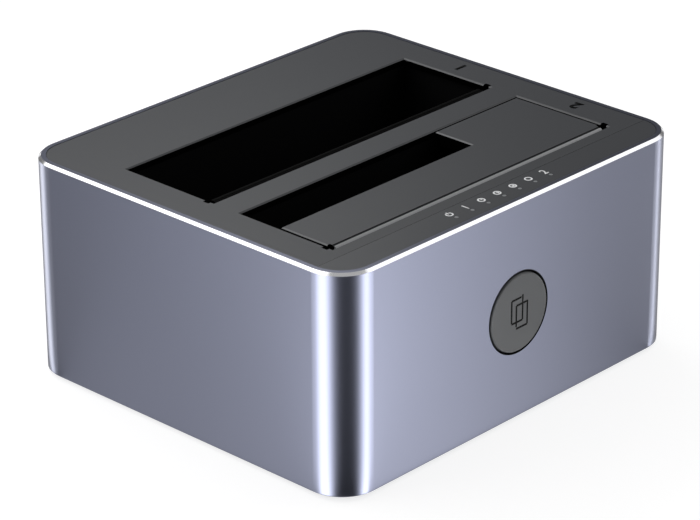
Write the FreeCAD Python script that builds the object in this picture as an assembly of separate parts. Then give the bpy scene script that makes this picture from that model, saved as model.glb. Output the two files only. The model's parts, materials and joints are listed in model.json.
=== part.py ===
"""Two-bay drive duplicator: an aluminium sleeve, a moulded top with two drive bays, and its electronics.

Millimetres. +Z is up, the copy button faces -Y and the sockets face +Y. The origin is on the floor,
under the middle of the sleeve. Bay 1 is the rear bay, bay 2 the front bay.
"""
import FreeCAD, Part
import math
import os

Vector = FreeCAD.Vector
X_AXIS = Vector(1, 0, 0)
Y_AXIS = Vector(0, 1, 0)
Z_AXIS = Vector(0, 0, 1)

# Sleeve, an extruded and diamond-cut aluminium tube
sleeve_width = 127.6
sleeve_depth = 113.0
sleeve_height = 60.0
sleeve_corner_radius = 10.5
sleeve_wall = 2.0
sleeve_top_chamfer = 0.7
sleeve_bottom_chamfer = 0.3
channel_radius = 3.6
channel_bore_radius = 1.65
channel_inset = 4.6
channel_slit = 1.4

# Feet and base plate
foot_height = 1.2
foot_radius = 5.0
foot_edge = 0.4
foot_inset = 10.5
base_thickness = 2.0
base_gap = 0.10
base_rib_height = 3.0
base_rib_width = 1.4
vent_length = 34.0
vent_width = 2.4
vent_pitch = 7.0
vent_count = 7

# Top panel
panel_thickness = 2.0
panel_gap = 0.10
panel_recess = 0.10
panel_rib_width = 1.2
panel_rib_depth = 2.6
opening_bevel = 0.35
corner_boss_radius = 3.3
corner_boss_length = 6.0

# Drive bays, which take what the strips of the top leave between them
bay_count = 2
end_strip = 11.8
front_strip = 14.55
rear_strip = 26.65
bay_divider = 9.0
bay_side_relief = 0.9
bay_front_relief = 0.5
well_wall = 1.6
well_floor = 1.6
well_floor_height = 15.0
well_corner_radius = 1.8
well_rib_depth = 1.2
well_rib_width = 1.4
well_rib_count = 4
lug_thickness = 2.5
lug_radius = 3.0
lug_reach = 2.8
lug_spread = 18.0
well_boss_radius = 2.6
well_boss_length = 5.0

# Flaps, one over each bay, with a cut-out that is left for the slimmer drives
flap_thickness = 2.0
flap_side_gap = 0.9
flap_front_gap = 0.2
flap_back_gap = 0.75
flap_edge_bevel = 0.3
slim_slot_length = 71.0
slim_slot_width = 13.4
flap_rib_width = 1.2
flap_rib_depth = 1.3
flap_tab_length = 4.0
flap_tab_thickness = 1.0
flap_tab_reach = 1.65
flap_tab_gap = 0.10
flap_cross_ribs = 5
hinge_drop = 2.2
hinge_inset = 1.75
barrel_radius = 1.45
barrel_end_step = 0.9
nose_radius = 1.5
flap_swing = 90.0
hinge_pin_radius = 0.6
hinge_pin_bevel = 0.18
hinge_pin_seat = 1.3
hinge_pin_end_gap = 0.2
hinge_notch_gap = 0.35
hinge_notch_step = 0.3
hinge_running_gap = 0.05
hinge_press_gap = 0.02

# Copy button, on the front wall
button_height = 29.5
button_radius = 10.65
button_gap = 0.35
button_proud = 0.3
button_edge_radius = 0.5
button_face_thickness = 1.6
button_skirt_radius = 11.9
button_skirt_wall = 1.3
button_skirt_length = 3.2
button_post_radius = 2.2
button_travel = 0.8
button_hole_chamfer = 0.25
retaining_gap = 0.15
holder_gap = 0.15
holder_wall = 1.5
holder_back = 1.6
holder_ear_radius = 3.0
holder_boss_length = 1.2
holder_boss_radius = 2.4
holder_pilot_length = 2.16
holder_slot_width = 12.0
holder_slot_drop = 7.23
button_screw_tip_gap = 0.3
button_board_size = 17.0
button_board_corner = 1.36
tact_size = 6.2
tact_height = 3.1
tact_bevel = 0.37
plunger_radius = 1.6
plunger_height = 1.3
plunger_root = 1.24
plunger_bevel = 0.24

# Indicators, along the front strip of the top panel
light_count = 7
light_pitch = 5.95
light_line_inset = 5.3
light_tip_radius = 0.5
light_pipe_radius = 0.75
light_fit = 0.08
film_thickness = 0.3
film_depth = 10.5
film_seam = 0.08
guide_bar_height = 1.5
guide_bar_width = 2.8
guide_bar_corner = 1.12
guide_peg_radius = 1.0
guide_bar_overhang = 3.2
indicator_board_length = 64.0
indicator_board_front_gap = 0.6
indicator_board_back_gap = 1.45
indicator_board_corner = 0.96
indicator_screw_inset = 6.3
indicator_boss_length = 4.5
indicator_boss_radius = 2.3
led_length = 1.6
led_width = 0.8
led_height = 0.8

# Main board and what stands on it
board_thickness = 1.6
standoff_height = 6.0
standoff_radius = 3.0
main_board_end_gap = 1.1
main_board_lead = 0.95
main_board_rear_gap = 2.0
main_board_corner = 1.6
board_screw_inset = 4.5
board_screw_rear_inset = 17.0

# Drive sockets: the drive edge that both drive sizes share is the -X end of the bay
drive_clearance = 0.6
socket_from_drive_edge = 30.12
socket_from_bay_back = 4.9
socket_length = 43.0
socket_base_width = 7.0
socket_base_height = 2.4
socket_body_length = 38.4
socket_body_width = 5.6
socket_height = 9.2
socket_bevel = 0.39
socket_ear_length = 2.07
socket_ear_width = 3.36
socket_ear_bevel = 0.62
socket_slot_depth = 6.2
socket_slot_width = 1.5
signal_slot_length = 10.9
power_slot_length = 21.2
slot_divider = 1.5
slot_key = 1.1
contact_pitch = 1.27
contact_width = 0.8
contact_thickness = 0.25
contact_drop = 0.8
signal_contacts = 7
power_contacts = 15
socket_window_gap = 0.5

# Parts on the main board, as width, depth and height, placed in from a bay's +X end and back edge
bridge_chip_size = (12.0, 12.0, 1.2)
bridge_chip_place = (30.0, 12.0)
controller_size = (9.0, 9.0, 1.0)
controller_place = (28.0, 14.0)
memory_size = (5.3, 6.2, 1.5)
memory_place = (12.0, 14.0)
crystal_size = (5.0, 3.2, 1.0)
crystal_place = (14.0, 12.0)
chip_bevel = 0.2
inductor_size = (7.0, 7.0, 3.6)
inductor_from_usb = 1.0
inductor_pitch = 11.0
inductor_count = 2
inductor_core_radius = 2.4
inductor_core_height = 0.4
inductor_bevel = 0.6
capacitor_radius = 4.0
capacitor_height = 11.0
capacitor_from_switch = 11.0
capacitor_pitch = 10.5
capacitor_count = 3
capacitor_edge_radius = 0.6
rear_parts_gap = 2.2

# Rear sockets and switch
usb_inset = 25.8
usb_width = 8.94
usb_height = 3.26
usb_wall = 0.3
usb_back_wall = 1.0
usb_length = 8.0
usb_tongue_width = 6.7
usb_tongue_thickness = 0.7
usb_tongue_length = 6.0
usb_tongue_corner = 0.56
usb_opening_gap = 0.3
jack_from_usb = 28.0
jack_width = 9.0
jack_height = 11.0
jack_body_length = 11.5
jack_nose_radius = 4.0
jack_bore_radius = 3.15
jack_bore_depth = 9.5
jack_pin_radius = 1.05
jack_pin_length = 8.0
jack_pin_rounding = 0.84
jack_axis_height = 6.5
jack_opening_gap = 0.3
socket_setback = 0.3
switch_inset = 23.8
switch_height = 30.0
switch_cutout_width = 8.7
switch_cutout_length = 13.0
switch_bezel_width = 10.5
switch_bezel_length = 15.0
switch_bezel_thickness = 1.2
switch_bezel_radius = 1.2
switch_bezel_bevel = 0.36
switch_body_depth = 11.0
switch_fit = 0.12
switch_pocket_depth = 5.5
rocker_width = 6.2
rocker_length = 9.2
rocker_gap = 0.3
rocker_proud = 0.0
rocker_dish_radius = 12.0
rocker_tilt = 10.0
rocker_pin_radius = 0.8
rocker_pivot_depth = 2.0
rocker_web_depth = 1.6
rocker_pivot_length = 0.62
terminal_width = 4.8
terminal_thickness = 0.8
terminal_length = 6.0
terminal_spacing = 7.0

# Screws and leads
tie_screw_radius = 1.45
tie_head_radius = 2.8
tie_head_depth = 1.5
tie_recess_half_length = 1.54
tie_recess_half_width = 0.39
tie_screw_grip = 5.0
small_screw_radius = 0.95
small_screw_head_radius = 1.9
small_screw_head_height = 1.4
small_screw_head_rounding = 0.56
small_recess_half_length = 1.05
small_recess_half_width = 0.30
small_screw_grip = 3.6
screw_slack = 0.25
thread_gap = 0.02
drive_recess_depth = 0.8
ribbon_width = 6.0
ribbon_end_inset = 0.5
ribbon_edge_gap = 0.4
ribbon_overlap = 3.0
ribbon_thickness = 0.3
ribbon_bend_radius = 2.0
ribbon_socket_inset = 1.0
ribbon_socket_height = 1.8
ribbon_socket_depth = 3.6
ribbon_socket_length = 8.4
lead_radius = 0.8
lead_bend_radius = 3.0
lead_side_gap = 0.05
lead_root_gap = 1.2
lead_straight = 2.4

# Levels and lines that several pieces share
sleeve_bottom = foot_height
sleeve_top = sleeve_bottom + sleeve_height
base_top = sleeve_bottom + base_thickness
panel_top = sleeve_top - panel_recess
panel_bottom = panel_top - panel_thickness
channel_top = panel_bottom - corner_boss_length
inner_half_x = sleeve_width / 2 - sleeve_wall
inner_half_y = sleeve_depth / 2 - sleeve_wall
inner_corner_radius = sleeve_corner_radius - sleeve_wall
channel_x = inner_half_x - channel_inset
channel_y = inner_half_y - channel_inset
board_bottom = base_top + standoff_height
board_top = board_bottom + board_thickness
bay_half = sleeve_width / 2 - end_strip
bays_width = sleeve_depth - front_strip - rear_strip - bay_divider * (bay_count - 1)
bay_width = bays_width / bay_count
bay_back = {1: sleeve_depth / 2 - rear_strip}
bay_back[2] = bay_back[1] - bay_width - bay_divider
bay_front = {bay: back - bay_width for bay, back in bay_back.items()}
hinge_z = panel_top - hinge_drop
hinge_y = {bay: front + hinge_inset for bay, front in bay_front.items()}
socket_x = -bay_half + drive_clearance + socket_from_drive_edge
button_z = sleeve_bottom + button_height
front_outside = -sleeve_depth / 2
front_inside = front_outside + sleeve_wall
front_well_face = bay_front[2] - bay_front_relief - well_wall
rear_outside = sleeve_depth / 2
rear_inside = rear_outside - sleeve_wall
light_y = front_outside + light_line_inset
light_x = [light_pitch * (i - (light_count - 1) / 2) for i in range(light_count)]
well_top = panel_bottom
lug_top = panel_bottom - well_boss_length
usb_x = usb_inset - sleeve_width / 2
jack_x = usb_x + jack_from_usb
switch_x = sleeve_width / 2 - switch_inset
inductor_x = [usb_x + inductor_from_usb + inductor_pitch * i for i in range(inductor_count)]
capacitor_x = [switch_x - capacitor_from_switch - capacitor_pitch * i for i in range(capacitor_count)]
well_floor_bottom = well_floor_height - well_floor
film_back = front_outside + film_depth
LONG = 400.0


# Small builders


def box(x0, x1, y0, y1, z0, z1):
    """A block between two corners."""
    return Part.makeBox(x1 - x0, y1 - y0, z1 - z0, Vector(x0, y0, z0))


def post(x, y, z0, z1, radius):
    """An upright cylinder."""
    return Part.makeCylinder(radius, z1 - z0, Vector(x, y, z0), Z_AXIS)


def rod_x(x0, x1, y, z, radius):
    """A cylinder along X."""
    return Part.makeCylinder(radius, x1 - x0, Vector(x0, y, z), X_AXIS)


def rod_y(y0, y1, x, z, radius):
    """A cylinder along Y."""
    return Part.makeCylinder(radius, y1 - y0, Vector(x, y0, z), Y_AXIS)


def cone(x, y, z0, z1, radius_0, radius_1):
    """An upright cone."""
    return Part.makeCone(radius_0, radius_1, z1 - z0, Vector(x, y, z0), Z_AXIS)


def rounded_outline(half_x, half_y, radius, z):
    """A closed rounded rectangle about the Z axis."""
    corners = [(1, 1, 0), (-1, 1, 90), (-1, -1, 180), (1, -1, 270)]
    arcs = []
    for sign_x, sign_y, start in corners:
        centre = Vector(sign_x * (half_x - radius), sign_y * (half_y - radius), z)
        arcs.append(Part.makeCircle(radius, centre, Z_AXIS, start, start + 90))
    edges = []
    for arc, following in zip(arcs, arcs[1:] + arcs[:1]):
        edges.append(arc)
        edges.append(Part.makeLine(arc.lastVertex().Point, following.firstVertex().Point))
    return Part.Wire(Part.__sortEdges__(edges))


def rounded_prism(half_x, half_y, radius, z0, z1):
    """An upright prism on a rounded rectangle."""
    return Part.Face(rounded_outline(half_x, half_y, radius, z0)).extrude(Vector(0, 0, z1 - z0))


def prism(points, direction):
    """A straight prism on a closed outline of points."""
    return Part.Face(Part.makePolygon(points + points[:1])).extrude(direction)


def fused(shapes):
    """The union of a list of solids, with seams between flush faces taken out."""
    first, rest = shapes[0], shapes[1:]
    if rest:
        first = first.multiFuse(rest)
    return first.removeSplitter()


def without(shape, cutters):
    """A solid with a list of cutters taken out of it."""
    return shape.cut(Part.makeCompound(cutters)) if cutters else shape


def edges_where(shape, test):
    """The edges whose bounding box passes a test."""
    return [edge for edge in shape.Edges if test(edge.BoundBox)]


def flat_at(bounds, z):
    """Whether a bounding box lies in the level z."""
    return abs(bounds.ZMin - z) < 1e-4 and abs(bounds.ZMax - z) < 1e-4


def round_vertical_edges(shape, radius):
    """Rounds every upright edge of a prism."""
    upright = edges_where(shape, lambda b: max(b.XLength, b.YLength) < 1e-4)
    return shape.makeFillet(radius, upright)


def round_edges_along_y(shape, radius):
    """Rounds every edge of a prism that runs along Y."""
    along = edges_where(shape, lambda b: max(b.XLength, b.ZLength) < 1e-4)
    return shape.makeFillet(radius, along)


def corner_places():
    """The centres of the sleeve's four screw channels."""
    return [(sx * channel_x, sy * channel_y) for sx in (-1, 1) for sy in (-1, 1)]


def cross_recess(x, y, z0, z1, half_length, half_width):
    """The two blades of a screw's cross recess."""
    first = box(x - half_length, x + half_length, y - half_width, y + half_width, z0, z1)
    second = box(x - half_width, x + half_width, y - half_length, y + half_length, z0, z1)
    return [first, second]


def small_screw(x, y, seat, tip):
    """A pan-head screw: its head bears on the level seat and its shank ends at the level tip."""
    away = -1 if tip > seat else 1
    low, high = sorted((seat, tip))
    shank = post(x, y, low, high, small_screw_radius)
    outer = seat + away * small_screw_head_height
    low, high = sorted((seat, outer))
    head = post(x, y, low, high, small_screw_head_radius)
    rim = edges_where(head, lambda b: flat_at(b, outer))
    head = head.makeFillet(small_screw_head_rounding, rim)
    low, high = sorted((outer, outer - away * drive_recess_depth))
    cross = cross_recess(x, y, low, high, small_recess_half_length, small_recess_half_width)
    return without(fused([shank, head]), cross)


# Housing


def make_sleeve():
    """The sleeve: a tube with a screw channel in each corner, the button hole and the rear cut-outs."""
    outer = rounded_prism(
        sleeve_width / 2, sleeve_depth / 2, sleeve_corner_radius, sleeve_bottom, sleeve_top
    )
    outer = outer.makeChamfer(sleeve_top_chamfer, edges_where(outer, lambda b: flat_at(b, sleeve_top)))
    outer = outer.makeChamfer(
        sleeve_bottom_chamfer, edges_where(outer, lambda b: flat_at(b, sleeve_bottom))
    )
    inner = rounded_prism(
        inner_half_x, inner_half_y, inner_corner_radius, sleeve_bottom, sleeve_top
    )
    tube = outer.cut(inner)
    channels = [post(x, y, base_top, channel_top, channel_radius) for x, y in corner_places()]
    channels = [channel.common(inner) for channel in channels]
    cuts = []
    for x, y in corner_places():
        cuts.append(post(x, y, base_top, channel_top, channel_bore_radius))
        slit = box(0, channel_inset, -channel_slit / 2, channel_slit / 2, base_top, channel_top)
        slit.rotate(Vector(0, 0, 0), Z_AXIS, math.degrees(math.atan2(-y, -x)))
        slit.translate(Vector(x, y, 0))
        cuts.append(slit)
    cuts.append(button_hole())
    cuts.extend(rear_cutouts())
    return without(fused([tube] + channels), cuts)


def button_hole():
    """The round hole for the copy button, with its bright bevel."""
    radius = button_radius + button_gap
    hole = rod_y(front_outside, front_inside, 0, button_z, radius)
    centre = Vector(0, front_outside, button_z)
    bevel = Part.makeCone(radius + button_hole_chamfer, radius, button_hole_chamfer, centre, Y_AXIS)
    return hole.fuse(bevel)


def rear_cutouts():
    """The holes in the rear wall for the data socket, the power socket and the switch."""
    half_w = usb_width / 2 + usb_opening_gap
    half_h = usb_height / 2 + usb_opening_gap
    usb = stadium(usb_x, usb_centre_z(), half_w, half_h, rear_inside, rear_outside)
    jack_radius = jack_nose_radius + jack_opening_gap
    jack = rod_y(rear_inside, rear_outside, jack_x, board_top + jack_axis_height, jack_radius)
    switch = upright_block(
        switch_x, switch_height, switch_cutout_width, switch_cutout_length, rear_inside, rear_outside
    )
    return [usb, jack, switch]


def usb_centre_z():
    return board_top + usb_height / 2


def upright_block(x, z, width, height, y0, y1):
    """A block along Y about a line, with its section's width and height."""
    return box(x - width / 2, x + width / 2, y0, y1, z - height / 2, z + height / 2)


def stadium(x, z, half_width, half_height, y0, y1):
    """A bar along Y whose section is a rectangle with round ends."""
    reach = half_width - half_height
    bar = upright_block(x, z, 2 * reach, 2 * half_height, y0, y1)
    ends = [rod_y(y0, y1, x + side * reach, z, half_height) for side in (-1, 1)]
    return fused([bar] + ends)


def make_base_plate():
    """The base plate: vents, four board standoffs, stiffening ribs and countersunk corners."""
    half_x = inner_half_x - base_gap
    half_y = inner_half_y - base_gap
    plate = rounded_prism(half_x, half_y, inner_corner_radius - base_gap, sleeve_bottom, base_top)
    adds = [plate]
    standoffs = board_screw_places()
    for x, y in standoffs:
        adds.append(post(x, y, base_top, board_bottom, standoff_radius))
    left, right = standoffs[0][0], standoffs[-1][0]
    low, high = standoffs[0][1], standoffs[1][1]
    rib = base_rib_width / 2
    rib_top = base_top + base_rib_height
    for x in (left, right):
        adds.append(box(x - rib, x + rib, low, high, base_top, rib_top))
    for y in (low, high):
        adds.append(box(left, right, y - rib, y + rib, base_top, rib_top))
    cuts = []
    for x, y in corner_places():
        cuts.append(post(x, y, sleeve_bottom, base_top, tie_screw_radius + screw_slack))
        cuts.append(tie_head(x, y, thread_gap))
    for x, y in standoffs:
        cuts.append(post(x, y, base_top, board_bottom, small_screw_radius + thread_gap))
    middle_y = (low + high) / 2
    for side in (-1, 1):
        for i in range(vent_count):
            y = middle_y + vent_pitch * (i - (vent_count - 1) / 2)
            cuts.append(vent(side * main_board_half() / 2, y))
    return without(fused(adds), cuts)


def vent(x, y):
    """A slot through the base plate with round ends."""
    radius = vent_width / 2
    reach = vent_length / 2 - radius
    slot = box(x - reach, x + reach, y - radius, y + radius, sleeve_bottom, base_top)
    ends = [post(x + side * reach, y, sleeve_bottom, base_top, radius) for side in (-1, 1)]
    return fused([slot] + ends)


def tie_head(x, y, gap):
    """The countersunk head of a tie screw, or with a gap the seat for it."""
    head_top = sleeve_bottom + tie_head_depth
    return cone(x, y, sleeve_bottom, head_top, tie_head_radius + gap, tie_screw_radius + gap)


def make_feet():
    """Four self-adhesive rubber feet, inboard of the tie screws."""
    feet = []
    for sx in (-1, 1):
        for sy in (-1, 1):
            x = sx * (inner_half_x - foot_inset)
            y = sy * (inner_half_y - foot_inset)
            foot = post(x, y, 0, foot_height, foot_radius)
            feet.append(foot.makeChamfer(foot_edge, edges_where(foot, lambda b: flat_at(b, 0))))
    return Part.makeCompound(feet)


def make_tie_screws():
    """Four long countersunk screws, up the sleeve's channels into the bosses of the top panel."""
    screws = []
    for x, y in corner_places():
        tip = channel_top + tie_screw_grip
        shank = post(x, y, sleeve_bottom, tip, tie_screw_radius)
        depth = sleeve_bottom + drive_recess_depth
        cross = cross_recess(x, y, sleeve_bottom, depth, tie_recess_half_length, tie_recess_half_width)
        screws.append(without(fused([shank, tie_head(x, y, 0)]), cross))
    return Part.makeCompound(screws)


def make_top_panel():
    """The top panel: two bay openings, a recess for the film, pipe holes, bosses and a locating rib."""
    half_x = inner_half_x - panel_gap
    half_y = inner_half_y - panel_gap
    radius = inner_corner_radius - panel_gap
    panel = rounded_prism(half_x, half_y, radius, panel_bottom, panel_top)
    for bay in (1, 2):
        panel = panel.cut(bay_block(bay, panel_bottom, panel_top))
        rim = edges_where(panel, lambda b: flat_at(b, panel_top) and inside_bay(b, bay))
        panel = panel.makeChamfer(opening_bevel, rim)
    rib_low = panel_bottom - panel_rib_depth
    rib = rounded_prism(half_x, half_y, radius, rib_low, panel_bottom)
    inside = panel_rib_width
    hollow = rounded_prism(half_x - inside, half_y - inside, radius - inside, rib_low, panel_bottom)
    rib = rib.cut(hollow)
    adds = [panel, rib]
    cuts = []
    within = rounded_prism(half_x, half_y, radius, channel_top, panel_bottom)
    for x, y in corner_places():
        adds.append(post(x, y, channel_top, panel_bottom, corner_boss_radius).common(within))
        cuts.append(post(x, y, channel_top, panel_bottom, tie_screw_radius + thread_gap))
    for x, y in well_screw_places(1) + well_screw_places(2):
        adds.append(post(x, y, lug_top, panel_bottom, well_boss_radius))
        cuts.append(post(x, y, lug_top, panel_bottom, small_screw_radius + thread_gap))
    for x, y in indicator_screw_places():
        adds.append(post(x, y, indicator_board_top(), panel_bottom, indicator_boss_radius))
        cuts.append(post(x, y, indicator_board_top(), panel_bottom, small_screw_radius + thread_gap))
    for bay in (1, 2):
        cuts.extend(hinge_pockets(bay))
    film_low = panel_top - film_thickness
    cuts.append(box(-LONG, LONG, -LONG, film_back, film_low, panel_top))
    for x in light_x:
        cuts.append(post(x, light_y, panel_bottom, panel_top, light_pipe_radius + light_fit))
    return without(fused(adds), cuts)


def bay_block(bay, z0, z1):
    """The straight prism of one bay opening."""
    return box(-bay_half, bay_half, bay_front[bay], bay_back[bay], z0, z1)


def inside_bay(bounds, bay):
    """Whether a bounding box lies on or inside one bay's opening."""
    slack = 1e-3
    across = abs(bounds.XMin) < bay_half + slack and abs(bounds.XMax) < bay_half + slack
    along = bounds.YMin > bay_front[bay] - slack and bounds.YMax < bay_back[bay] + slack
    return across and along


def hinge_pockets(bay):
    """The notches above a hinge pin's ends, and the blind pockets that hold the pin down."""
    y = hinge_y[bay]
    notch = hinge_pin_radius + hinge_notch_gap
    pin_top = hinge_z + hinge_pin_radius + hinge_running_gap
    half_pocket = hinge_pin_radius + hinge_running_gap
    reach = bay_half + bay_side_relief + hinge_pin_seat + hinge_pin_end_gap
    cuts = []
    for side in (-1, 1):
        notch_end = bay_half + bay_side_relief + hinge_notch_step
        x0, x1 = sorted((side * bay_half, side * notch_end))
        cuts.append(box(x0, x1, y - notch, y + notch, panel_bottom, panel_top))
        x0, x1 = sorted((side * bay_half, side * reach))
        cuts.append(box(x0, x1, y - half_pocket, y + half_pocket, panel_bottom, pin_top))
    return cuts


def make_indicator_film():
    """The thin smoked film let into the front strip, pierced for the seven light tips."""
    half_x = inner_half_x - panel_gap
    half_y = inner_half_y - panel_gap
    radius = inner_corner_radius - panel_gap
    film = rounded_prism(half_x, half_y, radius, panel_top - film_thickness, panel_top)
    film = film.common(box(-LONG, LONG, -LONG, film_back - film_seam, 0, LONG))
    holes = [post(x, light_y, 0, LONG, light_tip_radius + light_fit) for x in light_x]
    return without(film, holes)


# Bay wells


def well_screw_places(bay):
    """The four screw places of one well, beyond its two ends."""
    middle = (bay_front[bay] + bay_back[bay]) / 2
    x = bay_half + bay_side_relief + well_wall + lug_reach
    return [(sx * x, middle + sy * lug_spread / 2) for sx in (-1, 1) for sy in (-1, 1)]


def make_bay_well(bay):
    """One well: a thin-walled box with a socket window, hinge saddles, lugs, ribs and button bosses."""
    x_in = bay_half + bay_side_relief
    y_in0 = bay_front[bay] - bay_front_relief
    y_in1 = bay_back[bay]
    x_out = x_in + well_wall
    y_out0 = y_in0 - well_wall
    y_out1 = y_in1 + well_wall
    shell = box(-x_out, x_out, y_out0, y_out1, well_floor_bottom, well_top)
    shell = round_vertical_edges(shell, well_corner_radius)
    adds = [shell]
    for x, y in well_screw_places(bay):
        side = math.copysign(1, x)
        inner, outer = sorted((side * (x_out - well_wall / 2), x))
        low = lug_top - lug_thickness
        adds.append(box(inner, outer, y - lug_radius, y + lug_radius, low, lug_top))
        adds.append(post(x, y, low, lug_top, lug_radius))
    rib_y0 = y_out0 - well_rib_depth
    rib_y1 = y_out1 + well_rib_depth
    for x in rib_places(x_in):
        half = well_rib_width / 2
        adds.append(box(x - half, x + half, rib_y0, rib_y1, well_floor_bottom, lug_top))
    for x in holder_screw_x():
        adds.append(rod_y(y_out0 - holder_boss_length, y_in0, x, button_z, holder_boss_radius))
    cuts = [box(-x_in, x_in, y_in0, y_in1, well_floor_height, well_top)]
    cuts.append(socket_window(bay))
    for x, y in well_screw_places(bay):
        cuts.append(post(x, y, 0, lug_top, small_screw_radius + screw_slack))
    pilot_start = y_out0 - holder_boss_length
    pilot_end = pilot_start + holder_pilot_length
    for x in holder_screw_x():
        cuts.append(rod_y(pilot_start, pilot_end, x, button_z, small_screw_radius + thread_gap))
    seat = hinge_pin_radius + hinge_running_gap
    for side in (-1, 1):
        x0, x1 = sorted((side * x_in, side * (x_in + hinge_pin_seat + hinge_pin_end_gap)))
        cuts.append(rod_x(x0, x1, hinge_y[bay], hinge_z, seat))
        cuts.append(box(x0, x1, hinge_y[bay] - seat, hinge_y[bay] + seat, hinge_z, well_top))
    return without(fused(adds), cuts)


def rib_places(x_in):
    """Evenly spaced stiffening ribs along the long walls, clear of the button holder."""
    step = 2 * x_in / (well_rib_count + 1)
    return [-x_in + step * (i + 1) for i in range(well_rib_count)]


def socket_window(bay):
    """The hole in a well's floor that the drive socket stands up through."""
    y = bay_back[bay] - socket_from_bay_back
    half_x = socket_length / 2 + socket_window_gap
    half_y = socket_base_width / 2 + socket_window_gap
    return box(socket_x - half_x, socket_x + half_x, y - half_y, y + half_y, 0, well_floor_height)


def holder_screw_x():
    x = button_skirt_radius + holder_gap + holder_wall + holder_ear_radius
    return (-x, x)


def make_well_screws():
    """Eight screws, up through the wells' lugs into the bosses of the top panel."""
    screws = []
    for x, y in well_screw_places(1) + well_screw_places(2):
        seat = lug_top - lug_thickness
        tip = lug_top + small_screw_grip
        screws.append(small_screw(x, y, seat, tip))
    return Part.makeCompound(screws)


# Flaps


def make_closed_flap(bay):
    """One flap, closed: a plate with a rounded nose, ribs, stop tabs, and a barrel for its pin."""
    front = bay_front[bay] + flap_front_gap
    back = bay_back[bay] - flap_back_gap
    half = bay_half - flap_side_gap
    slot_x = -bay_half + slim_slot_length
    slot_y = bay_back[bay] - slim_slot_width
    low = panel_top - flap_thickness
    outline = [
        Vector(-half, front, low), Vector(half, front, low), Vector(half, back, low),
        Vector(slot_x, back, low), Vector(slot_x, slot_y, low), Vector(-half, slot_y, low),
    ]
    plate = prism(outline, Vector(0, 0, flap_thickness))
    nose = edges_where(plate, lambda b: flat_at(b, panel_top) and b.YMax < front + 1e-3)
    plate = plate.makeFillet(nose_radius, nose)
    nose_end = front + nose_radius
    rim = edges_where(plate, lambda b: flat_at(b, panel_top) and b.YMax > nose_end + 1e-3)
    plate = plate.makeChamfer(flap_edge_bevel, rim)
    adds = [plate]
    rib_low = low - flap_rib_depth
    for x0, x1, y0, y1 in flap_ribs(half, slot_x, hinge_y[bay], slot_y, back):
        adds.append(box(x0, x1, y0, y1, rib_low, low))
    barrel_half = half - barrel_end_step
    adds.append(rod_x(-barrel_half, barrel_half, hinge_y[bay], hinge_z, barrel_radius))
    tab_top = panel_bottom - flap_tab_gap
    for side, y1 in ((-1, slot_y - flap_rib_width), (1, back - flap_rib_width)):
        x0, x1 = sorted((side * (half - flap_rib_width), side * (half + flap_tab_reach)))
        adds.append(box(x0, x1, y1 - flap_tab_length, y1, tab_top - flap_tab_thickness, tab_top))
    cuts = [rod_x(-LONG, LONG, hinge_y[bay], hinge_z, hinge_pin_radius + hinge_press_gap)]
    corner_back = hinge_y[bay] + hinge_pin_radius + hinge_notch_gap
    for side in (-1, 1):
        x0, x1 = sorted((side * barrel_half, side * LONG))
        cuts.append(box(x0, x1, -LONG, corner_back, 0, LONG))
    return without(fused(adds), cuts)


def flap_ribs(half, slot_x, pivot_y, slot_y, back):
    """The stiffening ribs under a flap: its rim, and evenly spaced ribs from the barrel to the rim."""
    width = flap_rib_width
    rim_start = pivot_y + barrel_radius
    ribs = [
        (-half, -half + width, rim_start, slot_y),
        (half - width, half, rim_start, back),
        (-half, slot_x + width, slot_y - width, slot_y),
        (slot_x, slot_x + width, slot_y - width, back),
        (slot_x, half, back - width, back),
    ]
    step = 2 * half / (flap_cross_ribs + 1)
    for i in range(flap_cross_ribs):
        x = -half + step * (i + 1)
        end = slot_y if x < slot_x else back
        ribs.append((x - width / 2, x + width / 2, pivot_y, end - width / 2))
    return ribs


def make_flap(bay):
    """Bay 2's flap is closed. Bay 1's is folded down along the front wall of its well."""
    flap = make_closed_flap(bay)
    if bay == 1:
        flap.rotate(Vector(0, hinge_y[bay], hinge_z), X_AXIS, -flap_swing)
    return flap


def make_flap_pin(bay):
    """A steel hinge pin with broken ends, pressed through the barrel and resting in the saddles."""
    half = bay_half + bay_side_relief + hinge_pin_seat
    pin = rod_x(-half, half, hinge_y[bay], hinge_z, hinge_pin_radius)
    ends = edges_where(pin, lambda b: b.XLength < 1e-4 and b.YLength > 1e-3)
    return pin.makeChamfer(hinge_pin_bevel, ends)


# Copy button


def skirt_front():
    """The face of the cap's flange, just behind the sleeve's inside."""
    return front_inside + retaining_gap


def skirt_end():
    return skirt_front() + button_skirt_length


def holder_back_face():
    """The back of the holder, on the bosses of bay 2's well."""
    return front_well_face - holder_boss_length


def button_board_back():
    return holder_back_face() - holder_back


def button_board_front():
    return button_board_back() - board_thickness


def plunger_tip():
    return button_board_front() - tact_height - plunger_height


def make_button_cap():
    """The cap: a round-edged face, a wider skirt that keeps it in the hole, and a post on the switch."""
    face_y = front_outside - button_proud
    face = rod_y(face_y, skirt_front() + button_skirt_wall, 0, button_z, button_radius)
    rim = edges_where(face, lambda b: abs(b.YMax - face_y) < 1e-4)
    face = face.makeFillet(button_edge_radius, rim)
    skirt = rod_y(skirt_front(), skirt_end(), 0, button_z, button_skirt_radius)
    inner = button_skirt_radius - button_skirt_wall
    hollow = rod_y(face_y + button_face_thickness, LONG, 0, button_z, inner - button_skirt_wall)
    mouth = rod_y(skirt_front() + button_skirt_wall, LONG, 0, button_z, inner)
    shell = without(fused([face, skirt]), [hollow, mouth])
    post_root = face_y + button_face_thickness / 2
    centre_post = rod_y(post_root, plunger_tip(), 0, button_z, button_post_radius)
    return fused([shell, centre_post])


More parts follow.
